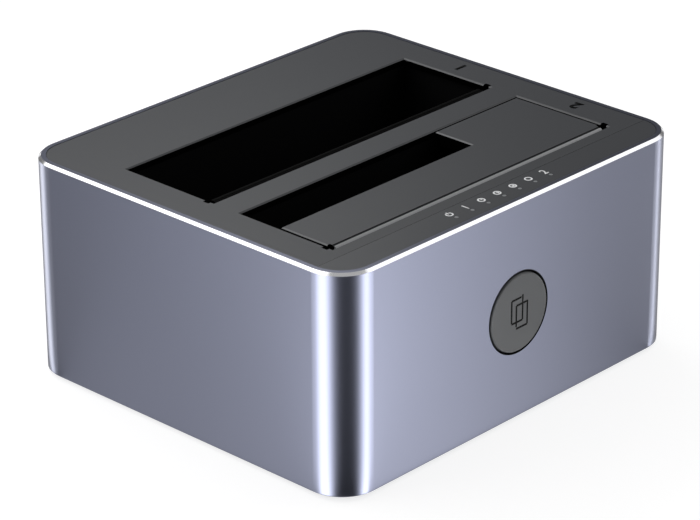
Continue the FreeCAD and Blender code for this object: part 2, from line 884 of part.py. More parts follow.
def make_button_holder():
    """The holder: a short tube that guides the cap's skirt, with a back and two screw ears."""
    bore = button_skirt_radius + holder_gap
    outer = bore + holder_wall
    back = holder_back_face()
    front = front_inside
    adds = [rod_y(front, back, 0, button_z, outer)]
    ear_x = holder_screw_x()[1]
    for x in holder_screw_x():
        adds.append(rod_y(back - holder_back, back, x, button_z, holder_ear_radius))
    low, high = button_z - holder_ear_radius, button_z + holder_ear_radius
    adds.append(box(-ear_x, ear_x, back - holder_back, back, low, high))
    cuts = [rod_y(front, back - holder_back, 0, button_z, bore)]
    for x in holder_screw_x():
        cuts.append(rod_y(-LONG, LONG, x, button_z, small_screw_radius + screw_slack))
    half_slot = holder_slot_width / 2
    cuts.append(box(-half_slot, half_slot, front, back - holder_back, 0, button_z - holder_slot_drop))
    return without(fused(adds), cuts)


def make_button_board():
    size = button_board_size
    board = upright_block(0, button_z, size, size, button_board_front(), button_board_back())
    return round_edges_along_y(board, button_board_corner)


def make_button_switch():
    """The key switch: a square body with a round opening for its plunger."""
    front = button_board_front() - tact_height
    body = upright_block(0, button_z, tact_size, tact_size, front, button_board_front())
    rim = edges_where(body, lambda b: abs(b.YMax - front) < 1e-4)
    body = body.makeChamfer(tact_bevel, rim)
    well = rod_y(front, front + plunger_stem_depth(), 0, button_z, plunger_radius + hinge_running_gap)
    return body.cut(well)


def plunger_stem_depth():
    """How deep the plunger's hole is: its own length in the body, and the travel."""
    return plunger_root + button_travel + hinge_running_gap


def make_switch_plunger():
    tip = plunger_tip()
    end = button_board_front() - tact_height + plunger_root
    plunger = rod_y(tip, end, 0, button_z, plunger_radius)
    rim = edges_where(plunger, lambda b: abs(b.YMax - tip) < 1e-4)
    return plunger.makeChamfer(plunger_bevel, rim)


def make_button_screws():
    """Two screws, through the holder's ears into bay 2's well."""
    screws = []
    seat = holder_back_face() - holder_back
    for x in holder_screw_x():
        screw = small_screw(0, 0, 0, -(holder_back + holder_pilot_length - button_screw_tip_gap))
        screw.rotate(Vector(0, 0, 0), X_AXIS, 90)
        screw.translate(Vector(x, seat, button_z))
        screws.append(screw)
    return Part.makeCompound(screws)


# Indicators


def indicator_board_top():
    return panel_bottom - indicator_boss_length


def indicator_board_y():
    """The indicator board's front and back edges."""
    return front_inside + indicator_board_front_gap, front_well_face - indicator_board_back_gap


def indicator_screw_places():
    front, back = indicator_board_y()
    x = indicator_board_length / 2 - indicator_screw_inset
    return [(-x, (front + back) / 2), (x, (front + back) / 2)]


def make_indicator_board():
    front, back = indicator_board_y()
    half = indicator_board_length / 2
    top = indicator_board_top()
    board = box(-half, half, front, back, top - board_thickness, top)
    board = round_vertical_edges(board, indicator_board_corner)
    radius = small_screw_radius + screw_slack
    holes = [post(x, y, 0, LONG, radius) for x, y in indicator_screw_places()]
    return without(board, holes)


def make_indicator_screws():
    screws = []
    for x, y in indicator_screw_places():
        seat = indicator_board_top() - board_thickness
        screws.append(small_screw(x, y, seat, indicator_board_top() + small_screw_grip))
    return Part.makeCompound(screws)


def make_indicator_leds():
    """Seven lamps, one under each light pipe."""
    top = indicator_board_top()
    y0 = light_y - led_width / 2
    y1 = light_y + led_width / 2
    leds = []
    for x in light_x:
        leds.append(box(x - led_length / 2, x + led_length / 2, y0, y1, top, top + led_height))
    return Part.makeCompound(leds)


def make_light_guide():
    """One clear moulding: a bar over the lamps, seven pipes up to the film, and two end pegs."""
    low = indicator_board_top() + led_height + light_fit
    top = low + guide_bar_height
    end = light_x[-1] + guide_bar_overhang
    half_width = guide_bar_width / 2
    bar = box(-end, end, light_y - half_width, light_y + half_width, low, top)
    adds = [round_vertical_edges(bar, guide_bar_corner)]
    for x in light_x:
        adds.append(post(x, light_y, low, panel_top - film_thickness, light_pipe_radius))
        adds.append(post(x, light_y, low, panel_top, light_tip_radius))
    for x in (-end + guide_peg_radius, end - guide_peg_radius):
        adds.append(post(x, light_y, low, panel_bottom, guide_peg_radius))
    return fused(adds)


# Main board


def main_board_y():
    """The main board's front and back edges."""
    return front_well_face - main_board_lead, rear_inside - main_board_rear_gap


def main_board_half():
    """Half the main board's length, which ends short of the screw channels."""
    return channel_x - channel_radius - main_board_end_gap


def board_screw_places():
    """The four corners of the board's screw pattern, left to right, front before rear."""
    front, back = main_board_y()
    x = main_board_half() - board_screw_inset
    rows = (front + board_screw_inset, back - board_screw_rear_inset)
    return [(side * x, y) for side in (-1, 1) for y in rows]


def make_main_board():
    front, back = main_board_y()
    half = main_board_half()
    board = box(-half, half, front, back, board_bottom, board_top)
    board = round_vertical_edges(board, main_board_corner)
    radius = small_screw_radius + screw_slack
    holes = [post(x, y, 0, LONG, radius) for x, y in board_screw_places()]
    return without(board, holes)


def make_board_screws():
    screws = []
    for x, y in board_screw_places():
        screws.append(small_screw(x, y, board_top, board_bottom - small_screw_grip))
    return Part.makeCompound(screws)


def socket_slots():
    """The two slots of a drive socket, as length, distance from the socket's middle and contacts."""
    total = power_slot_length + slot_divider + signal_slot_length
    power_middle = -total / 2 + power_slot_length / 2
    signal_middle = total / 2 - signal_slot_length / 2
    power = (power_slot_length, power_middle, power_contacts)
    signal = (signal_slot_length, signal_middle, signal_contacts)
    return [power, signal]


def make_sata_socket(bay):
    """An upright drive socket: a base with guide ears, a body, and two keyed slots."""
    y = bay_back[bay] - socket_from_bay_back
    top = board_top + socket_height
    half_base = socket_length / 2
    base_half_y = socket_base_width / 2
    body_half = socket_body_length / 2
    body_half_y = socket_body_width / 2
    base_top_z = board_top + socket_base_height
    x0, x1 = socket_x - half_base, socket_x + half_base
    base = box(x0, x1, y - base_half_y, y + base_half_y, board_top, base_top_z)
    x0, x1 = socket_x - body_half, socket_x + body_half
    body = box(x0, x1, y - body_half_y, y + body_half_y, board_top, top)
    body = body.makeChamfer(socket_bevel, edges_where(body, lambda b: flat_at(b, top)))
    adds = [base, body]
    half_ear = socket_ear_width / 2
    for side in (-1, 1):
        inner = socket_x + side * (half_base - socket_ear_length)
        x0, x1 = sorted((socket_x + side * half_base, inner))
        guide = box(x0, x1, y - half_ear, y + half_ear, board_top, top)
        adds.append(guide.makeChamfer(socket_ear_bevel, edges_where(guide, lambda b: flat_at(b, top))))
    cuts = []
    for length, middle, _ in socket_slots():
        x0 = socket_x + middle - length / 2
        x1 = socket_x + middle + length / 2
        y0 = y - socket_slot_width / 2
        y1 = y + socket_slot_width / 2
        low = top - socket_slot_depth
        cuts.append(box(x0, x1, y0, y1, low, top))
        cuts.append(box(x1 - slot_key, x1, y0 - slot_key, y1, low, top))
    return without(fused(adds), cuts)


def make_sata_contacts(bay):
    """The gilt contact springs along one side of both slots."""
    y = bay_back[bay] - socket_from_bay_back + socket_slot_width / 2
    low = board_top + socket_height - socket_slot_depth
    high = board_top + socket_height - contact_drop
    half = contact_width / 2
    contacts = []
    for _, middle, count in socket_slots():
        for i in range(count):
            x = socket_x + middle + contact_pitch * (i - (count - 1) / 2)
            contacts.append(box(x - half, x + half, y - contact_thickness, y, low, high))
    return Part.makeCompound(contacts)


def chip(x, y, size, bevel):
    """A moulded package lying on the main board."""
    width, depth, height = size
    top = board_top + height
    body = box(x - width / 2, x + width / 2, y - depth / 2, y + depth / 2, board_top, top)
    return body.makeChamfer(bevel, edges_where(body, lambda b: flat_at(b, top)))


def make_bay_chip(bay, place, size):
    """A chip under a well, at its distances from the bay's +X end and back edge."""
    from_end, from_back = place
    return chip(bay_half - from_end, bay_back[bay] - from_back, size, chip_bevel)


def rear_parts_y(depth):
    """The line of the tall parts, behind bay 1's well."""
    return bay_back[1] + well_wall + well_rib_depth + rear_parts_gap + depth / 2


def make_filter_capacitors():
    """Three upright filter capacitors behind bay 1."""
    cans = []
    top = board_top + capacitor_height
    for x in capacitor_x:
        can = post(x, rear_parts_y(2 * capacitor_radius), board_top, top, capacitor_radius)
        cans.append(can.makeFillet(capacitor_edge_radius, edges_where(can, lambda b: flat_at(b, top))))
    return Part.makeCompound(cans)


def make_power_inductors():
    """Two square power inductors with round cores."""
    coils = []
    top = board_top + inductor_size[2]
    y = rear_parts_y(inductor_size[1])
    for x in inductor_x:
        core = post(x, y, board_top, top + inductor_core_height, inductor_core_radius)
        coils.append(fused([chip(x, y, inductor_size, inductor_bevel), core]))
    return Part.makeCompound(coils)


# Rear sockets and switch


def make_usb_shell():
    """The data socket's drawn steel shell, open to the rear."""
    z = usb_centre_z()
    mouth = rear_outside - socket_setback
    outer = stadium(usb_x, z, usb_width / 2, usb_height / 2, mouth - usb_length, mouth)
    half_w = usb_width / 2 - usb_wall
    half_h = usb_height / 2 - usb_wall
    inner = stadium(usb_x, z, half_w, half_h, mouth - usb_length + usb_back_wall, mouth)
    return outer.cut(inner)


def make_usb_tongue():
    z = usb_centre_z()
    back = rear_outside - socket_setback - usb_length + usb_back_wall
    end = back + usb_tongue_length
    tongue = upright_block(usb_x, z, usb_tongue_width, usb_tongue_thickness, back, end)
    front = edges_where(tongue, lambda b: b.YMin > end - 1e-3 and b.XLength < 1e-3)
    return tongue.makeFillet(usb_tongue_corner, front)


def make_power_jack():
    """The power socket: a block on the board with a round nose that fills the hole in the sleeve."""
    z = board_top + jack_axis_height
    mouth = rear_outside - socket_setback
    back = rear_inside - jack_body_length
    half = jack_width / 2
    body = box(jack_x - half, jack_x + half, back, rear_inside, board_top, board_top + jack_height)
    nose = rod_y(back, mouth, jack_x, z, jack_nose_radius)
    bore = rod_y(mouth - jack_bore_depth, mouth, jack_x, z, jack_bore_radius)
    return fused([body, nose]).cut(bore)


def make_jack_pin():
    z = board_top + jack_axis_height
    start = rear_outside - socket_setback - jack_bore_depth
    end = start + jack_pin_length
    pin = rod_y(start, end, jack_x, z, jack_pin_radius)
    return pin.makeFillet(jack_pin_rounding, edges_where(pin, lambda b: b.YMin > end - 1e-3))


def rocker_axis_y():
    return rear_outside + switch_bezel_thickness - rocker_pivot_depth


def make_switch_housing():
    """The switch's snap-in body, with its bezel outside the sleeve and bores for the rocker's pivots."""
    outside = rear_outside + switch_bezel_thickness
    bezel = upright_block(
        switch_x, switch_height, switch_bezel_width, switch_bezel_length, rear_outside, outside
    )
    bezel = round_edges_along_y(bezel, switch_bezel_radius)
    rim = edges_where(bezel, lambda b: b.YMin > outside - 1e-3)
    bezel = bezel.makeChamfer(switch_bezel_bevel, rim)
    width = switch_cutout_width - 2 * switch_fit
    length = switch_cutout_length - 2 * switch_fit
    root = rear_inside - switch_body_depth
    body = upright_block(switch_x, switch_height, width, length, root, rear_outside)
    pocket_w = rocker_width + 2 * rocker_gap
    pocket_l = 2 * (rocker_reach() + rocker_gap)
    floor = rear_inside - switch_pocket_depth
    pocket = upright_block(switch_x, switch_height, pocket_w, pocket_l, floor, outside)
    reach = pocket_w / 2 + rocker_pivot_length
    radius = rocker_pin_radius + hinge_running_gap
    bore = rod_x(switch_x - reach, switch_x + reach, rocker_axis_y(), switch_height, radius)
    return without(fused([bezel, body]), [pocket, bore])


def rocker_crown():
    """The level of the rocker's two raised ends, before it is tilted."""
    return rear_outside + switch_bezel_thickness + rocker_proud


def rocker_reach():
    """The furthest that the rocker reaches from its pivot axis."""
    return math.hypot(rocker_length / 2, rocker_crown() - rocker_axis_y())


def make_power_rocker():
    """The rocker, resting with its lower end in: a dished key with a round belly, on two stub pivots."""
    axis_y = rocker_axis_y()
    crown = rocker_crown()
    half_w = rocker_width / 2
    half_l = rocker_length / 2
    low, high = switch_height - half_l, switch_height + half_l
    key = box(switch_x - half_w, switch_x + half_w, axis_y, crown, low, high)
    belly = rod_x(switch_x - half_w, switch_x + half_w, axis_y, switch_height, half_l)
    belly = belly.common(box(-LONG, LONG, axis_y - rocker_web_depth, axis_y, low, high))
    dish_y = crown + math.sqrt(rocker_dish_radius ** 2 - half_l ** 2)
    dish = rod_x(switch_x - half_w, switch_x + half_w, dish_y, switch_height, rocker_dish_radius)
    reach = half_w + rocker_gap + rocker_pivot_length - hinge_running_gap
    pivots = rod_x(switch_x - reach, switch_x + reach, axis_y, switch_height, rocker_pin_radius)
    rocker = fused([key, belly]).cut(dish).fuse(pivots)
    rocker.rotate(Vector(switch_x, axis_y, switch_height), X_AXIS, -rocker_tilt)
    return rocker


def terminal_places():
    return [switch_height - terminal_spacing / 2, switch_height + terminal_spacing / 2]


def terminal_root():
    return rear_inside - switch_body_depth


def make_switch_terminals():
    root = terminal_root()
    blades = []
    for z in terminal_places():
        tip = root - terminal_length
        blades.append(upright_block(switch_x, z, terminal_width, terminal_thickness, tip, root))
    return Part.makeCompound(blades)


# Leads and ribbons


def make_switch_leads():
    """Two insulated leads, from the switch's blades down to the main board."""
    leads = []
    for i, z in enumerate(terminal_places()):
        side = 1 if i else -1
        x = switch_x + side * (terminal_width / 2 + lead_radius + lead_side_gap)
        start = Vector(x, terminal_root() - lead_root_gap, z)
        turn = Vector(x, start.y - lead_straight, z)
        down = Vector(x, turn.y - lead_bend_radius, z - lead_bend_radius)
        centre = Vector(x, turn.y, z - lead_bend_radius)
        slant = lead_bend_radius * math.sqrt(0.5)
        middle = centre + Vector(0, -slant, slant)
        path = Part.Wire([
            Part.makeLine(start, turn),
            Part.Arc(turn, middle, down).toShape(),
            Part.makeLine(down, Vector(down.x, down.y, board_top)),
        ])
        section = Part.Wire(Part.makeCircle(lead_radius, start, Vector(0, -1, 0)))
        leads.append(path.makePipeShell([section], True, False))
    return Part.makeCompound(leads)


def ribbon(x, y, z_top):
    """A flat ribbon: straight down from z_top at the line y, then round a bend into its board socket."""
    z_end = board_top + ribbon_socket_height / 2
    outer = ribbon_bend_radius
    inner = ribbon_bend_radius - ribbon_thickness
    end_y = main_board_y()[0] + ribbon_socket_inset
    centre_y = y + outer
    centre_z = z_end + outer - ribbon_thickness / 2
    low = centre_z - outer
    back_y = y + ribbon_thickness

    def at(py, pz):
        return Vector(x - ribbon_width / 2, py, pz)

    def quarter(start, radius, end):
        slant = radius * math.sqrt(0.5)
        return Part.Arc(start, at(centre_y - slant, centre_z - slant), end).toShape()

    edges = [
        Part.makeLine(at(y, z_top), at(y, centre_z)),
        quarter(at(y, centre_z), outer, at(centre_y, low)),
        Part.makeLine(at(centre_y, low), at(end_y, low)),
        Part.makeLine(at(end_y, low), at(end_y, low + ribbon_thickness)),
        Part.makeLine(at(end_y, low + ribbon_thickness), at(centre_y, centre_z - inner)),
        quarter(at(centre_y, centre_z - inner), inner, at(back_y, centre_z)),
        Part.makeLine(at(back_y, centre_z), at(back_y, z_top)),
        Part.makeLine(at(back_y, z_top), at(y, z_top)),
    ]
    return Part.Face(Part.Wire(edges)).extrude(Vector(ribbon_width, 0, 0))


def ribbon_line():
    """The front face of the indicator ribbon, in front of the main board."""
    return main_board_y()[0] - ribbon_bend_radius - ribbon_edge_gap


def indicator_ribbon_x():
    return -indicator_board_length / 2 + ribbon_width / 2 + ribbon_end_inset


def make_indicator_ribbon():
    return ribbon(indicator_ribbon_x(), ribbon_line(), indicator_board_top() - board_thickness)


def make_button_ribbon():
    top = button_z - button_board_size / 2 + ribbon_overlap
    return ribbon(0, button_board_front() - ribbon_thickness, top)


def make_ribbon_sockets():
    """The two low sockets on the main board that the ribbons end in."""
    front = main_board_y()[0] + ribbon_socket_inset
    back = front + ribbon_socket_depth
    top = board_top + ribbon_socket_height
    half = ribbon_socket_length / 2
    sockets = [box(x - half, x + half, front, back, board_top, top) for x in (indicator_ribbon_x(), 0)]
    return Part.makeCompound(sockets)


def parts():
    """Every node's name and shape."""
    return {
        "sleeve": make_sleeve(),
        "base_plate": make_base_plate(),
        "feet": make_feet(),
        "tie_screws": make_tie_screws(),
        "top_panel": make_top_panel(),
        "indicator_film": make_indicator_film(),
        "light_guide": make_light_guide(),
        "indicator_board": make_indicator_board(),
        "indicator_leds": make_indicator_leds(),
        "indicator_screws": make_indicator_screws(),
        "bay_well_1": make_bay_well(1),
        "bay_well_2": make_bay_well(2),
        "well_screws": make_well_screws(),
        "flap_1": make_flap(1),
        "flap_2": make_flap(2),
        "flap_pin_1": make_flap_pin(1),
        "flap_pin_2": make_flap_pin(2),
        "button_cap": make_button_cap(),
        "button_holder": make_button_holder(),
        "button_screws": make_button_screws(),
        "button_board": make_button_board(),
        "button_switch": make_button_switch(),
        "switch_plunger": make_switch_plunger(),
        "main_board": make_main_board(),
        "board_screws": make_board_screws(),
        "sata_socket_1": make_sata_socket(1),
        "sata_socket_2": make_sata_socket(2),
        "sata_contacts_1": make_sata_contacts(1),
        "sata_contacts_2": make_sata_contacts(2),
        "bridge_chip": make_bay_chip(1, bridge_chip_place, bridge_chip_size),
        "copy_controller": make_bay_chip(2, controller_place, controller_size),
        "memory_chip": make_bay_chip(2, memory_place, memory_size),
        "crystal": make_bay_chip(1, crystal_place, crystal_size),
        "filter_capacitors": make_filter_capacitors(),
        "power_inductors": make_power_inductors(),
        "usb_shell": make_usb_shell(),
        "usb_tongue": make_usb_tongue(),
        "power_jack": make_power_jack(),
        "power_jack_pin": make_jack_pin(),
        "switch_housing": make_switch_housing(),
        "power_rocker": make_power_rocker(),
        "switch_terminals": make_switch_terminals(),
        "switch_leads": make_switch_leads(),
        "indicator_ribbon": make_indicator_ribbon(),
        "button_ribbon": make_button_ribbon(),
        "ribbon_sockets": make_ribbon_sockets(),
    }


os.makedirs("parts", exist_ok=True)
for name, shape in parts().items():
    shape.exportStep(os.path.join("parts", name + ".step"))
    print(name, shape.isValid(), len(shape.Solids), round(shape.Volume, 1))
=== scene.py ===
import json
import math

import bmesh
import bpy
from mathutils import Matrix, Vector


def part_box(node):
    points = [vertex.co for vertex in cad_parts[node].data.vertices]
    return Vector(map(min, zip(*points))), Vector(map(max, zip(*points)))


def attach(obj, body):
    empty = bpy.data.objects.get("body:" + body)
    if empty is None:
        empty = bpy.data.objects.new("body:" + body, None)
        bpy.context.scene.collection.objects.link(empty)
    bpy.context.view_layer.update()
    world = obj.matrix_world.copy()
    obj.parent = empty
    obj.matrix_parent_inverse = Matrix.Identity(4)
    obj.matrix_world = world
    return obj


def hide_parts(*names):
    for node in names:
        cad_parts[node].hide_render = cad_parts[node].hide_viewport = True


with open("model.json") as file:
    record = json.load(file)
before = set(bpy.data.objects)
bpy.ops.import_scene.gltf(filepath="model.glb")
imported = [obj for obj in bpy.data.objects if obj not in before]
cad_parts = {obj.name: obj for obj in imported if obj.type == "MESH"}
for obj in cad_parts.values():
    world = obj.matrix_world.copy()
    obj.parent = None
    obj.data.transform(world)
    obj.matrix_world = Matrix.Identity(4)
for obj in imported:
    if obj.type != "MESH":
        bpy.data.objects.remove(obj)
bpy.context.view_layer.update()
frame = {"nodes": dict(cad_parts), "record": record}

# Sizes are in metres and written in millimetres
MM = 0.001
merge_distance = 1e-7

# Camera
camera_place = Vector((-0.57314, -0.53940, 0.39160))
camera_azimuth = math.radians(-46.66)
camera_elevation = math.radians(24.83)
camera_roll = math.radians(-0.29)
camera_sensor_width = 36.0
camera_lens = 170.52
camera_clip_start = 10 * MM

# Marks printed over the lights and beside the bays
ink_thickness = 0.02 * MM
light_count = 7
led_length = 1.6 * MM
icon_setback = 2.35 * MM
icon_radius = 1.1 * MM
icon_line = 0.42 * MM
icon_arc_step = math.radians(12)
power_gap = math.radians(38)
power_bar_reach = (0.15 * icon_radius, 1.15 * icon_radius)
sector_radii = (0.1 * icon_radius, icon_radius - 1.35 * icon_line)
light_digit_height = 2.5 * MM
light_digit_weight = 0.05 * MM
bay_digit_height = 3.8 * MM
bay_digit_weight = 0.26 * MM
bay_digit_inset = 4.6 * MM
digit_height_share = 0.72
digit_curve_steps = 4

# Symbol cut into the copy button, two overlapping sheets
symbol_width = 4.2 * MM
symbol_height = 6.4 * MM
symbol_shift = 1.8 * MM
symbol_line = 0.56 * MM
symbol_depth = 0.15 * MM
symbol_gap = 0.5 * MM
symbol_step = 0.2 * MM
symbol_overlap = 0.6 * MM
button_smooth_angle = math.radians(35)

# Painted shade in the hole of the button in the sleeve, black only near the front
hole_shade_radius = 11.27 * MM
hole_shade_fade = 0.05 * MM
ring_squash = 0.15

# Groove behind each flap's nose, and the painted highlight, a paler line, in front of it
flap_nose = 0.95 * MM
flap_groove_width = 0.7 * MM
flap_groove_depth = 0.25 * MM
flap_groove_overrun = 1 * MM
flap_highlight_width = 0.7 * MM

# Tones by their screen values
top_plastic = (52, 54, 58)
# painted shade: the walls of the panel and the flaps, black
wall_painted_shade = (4, 4, 4)
# painted highlights on the bevelled ends of the panel and the flaps
panel_bevel_highlight = (88, 89, 91)
flap_bevel_highlight = (118, 119, 121)
# painted highlight on the closed flap's nose
flap_painted_highlight = (164, 165, 167)
satin_low = (103, 106, 121)
satin_mean = (105, 108, 123)
satin_high = (107, 110, 125)
cut_metal = (247, 247, 250)
# painted shade in the button's hole in the sleeve
hole_painted_shade = (3, 3, 3)

# Gloss of the sleeve and the top, and the turns of a face that change its tone: the bright cut, the
# painted highlights on the bevelled ends and the painted shade on the walls
satin_roughness = 0.31
cut_roughness = 0.18
top_roughness = 0.46
wall_roughness = 0.8
top_grain = 2500.0
top_relief = 0.004 * MM
bevel_lean = math.sqrt(0.5)
bevel_tolerance = 0.15
wall_fade = 0.1
panel_flattest = 0.35
folded_flap_flattest = 0.95
level_rise = (0.90, 0.95)
slanting_rise = (0.30, 0.45)

# Lines on the circuit boards
tracks_per_metre = 260.0
track_edge = (0.05, 0.07)
track_relief = 0.02 * MM

# Floor and sky
floor_radius = 6.0
floor_segments = 64
floor_grey = 0.4
floor_glow = 0.8
sky_rise = (0.45, 0.62)
sky_strength = (0.22, 0.5)

# Lamps: azimuth and elevation in degrees, then distance, width, height and watts
lamp_aim = Vector((0, 0, 30 * MM))
lamps = {
    "left_soft_box": (130, 41, 0.34, 0.34, 0.34, 0.42),
    "right_soft_box": (-60, 38, 0.50, 0.38, 0.38, 0.4),
    "back_strip": (198, 48, 0.36, 0.30, 0.12, 0.34),
}

# Card on the floor: how its rows glow, by their azimuth in degrees or by their share of a flat face
corner_radius = 10.5 * MM
card_gap = 1.5 * MM
card_reach = 350 * MM
card_height = 0.4 * MM
card_steps = 6
left_corner_glow = (
    (230, 0.3), (192, 0.3), (185, 3.6), (169, 5.0), (160, 1.0), (150, 0.5), (133.34, 0.6),
)
left_face_glow = ((0, 0.85), (0.1, 1.0), (0.25, 1.1), (0.5, 1.21), (0.75, 1.39), (1, 1.58))
near_corner_glow = (
    (133.34, 1.6), (122, 2.4), (110, 8.5), (88, 8.5), (78, 3.5), (66, 0.5), (52, 0.1), (12, 0.1), (4, 0.5),
    (-6, 2.5), (-16, 8.5), (-32, 8.5), (-37, 2.6), (-46.66, 2.5),
)
front_face_glow = ((0, 2.5), (0.14, 2.35), (0.29, 2.15), (0.5, 1.75), (0.71, 1.38), (0.86, 1.1), (1, 0.85))
right_corner_glow = (
    (-46.66, 0.8), (-57, 0.5), (-65, 0.8), (-69, 5.5), (-76, 5.5), (-81, 1.5), (-92, 0.6), (-140, 0.3),
)


def tone(red, green, blue):
    """A colour in linear light from its screen values, 0 to 255."""
    def linear(value):
        share = value / 255
        return share / 12.92 if share <= 0.04045 else ((share + 0.055) / 1.055) ** 2.4
    return (linear(red), linear(green), linear(blue), 1.0)


# Shared effects


def new_group(name, inputs, outputs):
    """An empty shader node group with named float or vector sockets."""
    group = bpy.data.node_groups.new(name, "ShaderNodeTree")
    kinds = {"value": "NodeSocketFloat", "vector": "NodeSocketVector"}
    for label, kind, default in inputs:
        item = group.interface.new_socket(label, in_out="INPUT", socket_type=kinds[kind])
        if default is not None:
            item.default_value = default
    for label, kind in outputs:
        group.interface.new_socket(label, in_out="OUTPUT", socket_type=kinds[kind])
    entry = group.nodes.new("NodeGroupInput")
    out = group.nodes.new("NodeGroupOutput")
    return group, entry, out


def make_grain_group():
    """A fine even grain with a slow drift, for moulded, blasted and rolled surfaces."""
    group, entry, out = new_group(
        "surface_grain",
        [
            ("Position", "vector", None),
            ("Grains per metre", "value", 3000.0),
            ("Drift per metre", "value", 30.0),
        ],
        [("Height", "value"), ("Drift", "value")],
    )
    fine = group.nodes.new("ShaderNodeTexNoise")
    fine.inputs["Detail"].default_value = 2.0
    slow = group.nodes.new("ShaderNodeTexNoise")
    slow.inputs["Detail"].default_value = 3.0
    link = group.links.new
    link(entry.outputs["Position"], fine.inputs["Vector"])
    link(entry.outputs["Position"], slow.inputs["Vector"])
    link(entry.outputs["Grains per metre"], fine.inputs["Scale"])
    link(entry.outputs["Drift per metre"], slow.inputs["Scale"])
    link(fine.outputs["Fac"], out.inputs["Height"])
    link(slow.outputs["Fac"], out.inputs["Drift"])
    return group


def make_facing_group():
    """Masks of the faces that look up and of those that slant up."""
    group, entry, out = new_group(
        "facing_up",
        [("Normal", "vector", None)],
        [("Level", "value"), ("Slanting", "value")],
    )
    split = group.nodes.new("ShaderNodeSeparateXYZ")
    group.links.new(entry.outputs["Normal"], split.inputs["Vector"])

    def rise(low, high):
        """0 to 1 as a face turns up, by the height of its normal."""
        node = group.nodes.new("ShaderNodeMapRange")
        node.inputs["From Min"].default_value = low
        node.inputs["From Max"].default_value = high
        group.links.new(split.outputs["Z"], node.inputs["Value"])
        return node.outputs["Result"]

    level = rise(*level_rise)
    above_wall = rise(*slanting_rise)
    slanting = group.nodes.new("ShaderNodeMath")
    slanting.operation = "SUBTRACT"
    group.links.new(above_wall, slanting.inputs[0])
    group.links.new(level, slanting.inputs[1])
    group.links.new(level, out.inputs["Level"])
    group.links.new(slanting.outputs["Value"], out.inputs["Slanting"])
    return group


grain_group = make_grain_group()
facing_group = make_facing_group()


# Materials


class Finish:
    """One material: its Principled shader, and short ways to add and join nodes."""

    def __init__(self, name, colour, roughness, metallic=0.0, specular=0.5):
        self.material = bpy.data.materials.new(name)
        self.material.use_nodes = True
        self.nodes = self.material.node_tree.nodes
        self.join = self.material.node_tree.links.new
        self.shader = self.nodes["Principled BSDF"]
        self.set("Base Color", colour)
        self.set("Roughness", roughness)
        self.set("Metallic", metallic)
        self.set("Specular IOR Level", specular)

    def set(self, socket, value):
        self.shader.inputs[socket].default_value = value

    def add(self, kind, **values):
        node = self.nodes.new(kind)
        for key, value in values.items():
            setattr(node, key, value)
        return node

    def position(self):
        return self.add("ShaderNodeTexCoord").outputs["Object"]

    def group(self, tree):
        return self.add("ShaderNodeGroup", node_tree=tree)

    def grain(self, grains, relief, drift=30.0):
        """Adds the grain as a small relief, and returns its group node."""
        grain = self.group(grain_group)
        grain.inputs["Grains per metre"].default_value = grains
        grain.inputs["Drift per metre"].default_value = drift
        self.join(self.position(), grain.inputs["Position"])
        bump = self.add("ShaderNodeBump")
        bump.inputs["Strength"].default_value = 1.0
        bump.inputs["Distance"].default_value = relief
        self.join(grain.outputs["Height"], bump.inputs["Height"])
        self.join(bump.outputs["Normal"], self.shader.inputs["Normal"])
        return grain

    def blend(self, mask, low, high):
        """A colour that goes from one tone to another with a mask."""
        mix = self.add("ShaderNodeMix", data_type="RGBA")
        ends = [item for item in mix.inputs if item.type == "RGBA"]
        for end, colour in zip(ends, (low, high)):
            if isinstance(colour, bpy.types.NodeSocket):
                self.join(colour, end)
            else:
                end.default_value = colour
        self.join(mask, mix.inputs["Factor"])
        return next(item for item in mix.outputs if item.type == "RGBA")

    def facing(self):
        """The masks of how each face looks."""
        group = self.group(facing_group)
        self.join(self.add("ShaderNodeNewGeometry").outputs["Normal"], group.inputs["Normal"])
        return group.outputs

    def spread(self, mask, low, high):
        """A value that goes from one number to another with a mask."""
        node = self.add("ShaderNodeMapRange")
        node.inputs["To Min"].default_value = low
        node.inputs["To Max"].default_value = high
        self.join(mask, node.inputs["Value"])
        return node.outputs["Result"]


def moulded(name, colour, roughness, grains=2500.0, relief=0.004 * MM, specular=0.5):
    """A moulded plastic with an even spark-eroded grain and a slight drift in its gloss."""
    finish = Finish(name, colour, roughness, specular=specular)
    grain = finish.grain(grains, relief)
    gloss = finish.spread(grain.outputs["Drift"], roughness - 0.04, roughness + 0.04)
    finish.join(gloss, finish.shader.inputs["Roughness"])
    return finish.material


def plated(name, colour, roughness, relief=0.002 * MM):
    """A plated or drawn metal with a faint grain."""
    finish = Finish(name, colour, roughness, metallic=1.0)
    grain = finish.grain(1800.0, relief)
    gloss = finish.spread(grain.outputs["Drift"], roughness - 0.05, roughness + 0.05)
    finish.join(gloss, finish.shader.inputs["Roughness"])
    return finish.material


def ring_mask(finish, node, radius):
    """A mask of what lies within a radius of a node's middle, looking along Y, near its front only."""
    low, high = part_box(node)
    shift = finish.add("ShaderNodeVectorMath", operation="SUBTRACT")
    shift.inputs[1].default_value = ((low.x + high.x) / 2, low.y, (low.z + high.z) / 2)
    finish.join(finish.position(), shift.inputs[0])
    flat = finish.add("ShaderNodeVectorMath", operation="MULTIPLY")
    flat.inputs[1].default_value = (1, ring_squash, 1)
    finish.join(shift.outputs["Vector"], flat.inputs[0])
    away = finish.add("ShaderNodeVectorMath", operation="LENGTH")
    finish.join(flat.outputs["Vector"], away.inputs[0])
    mask = finish.add("ShaderNodeMapRange")
    mask.inputs["From Min"].default_value = radius + hole_shade_fade
    mask.inputs["From Max"].default_value = radius
    finish.join(away.outputs["Value"], mask.inputs["Value"])
    return mask.outputs["Result"]


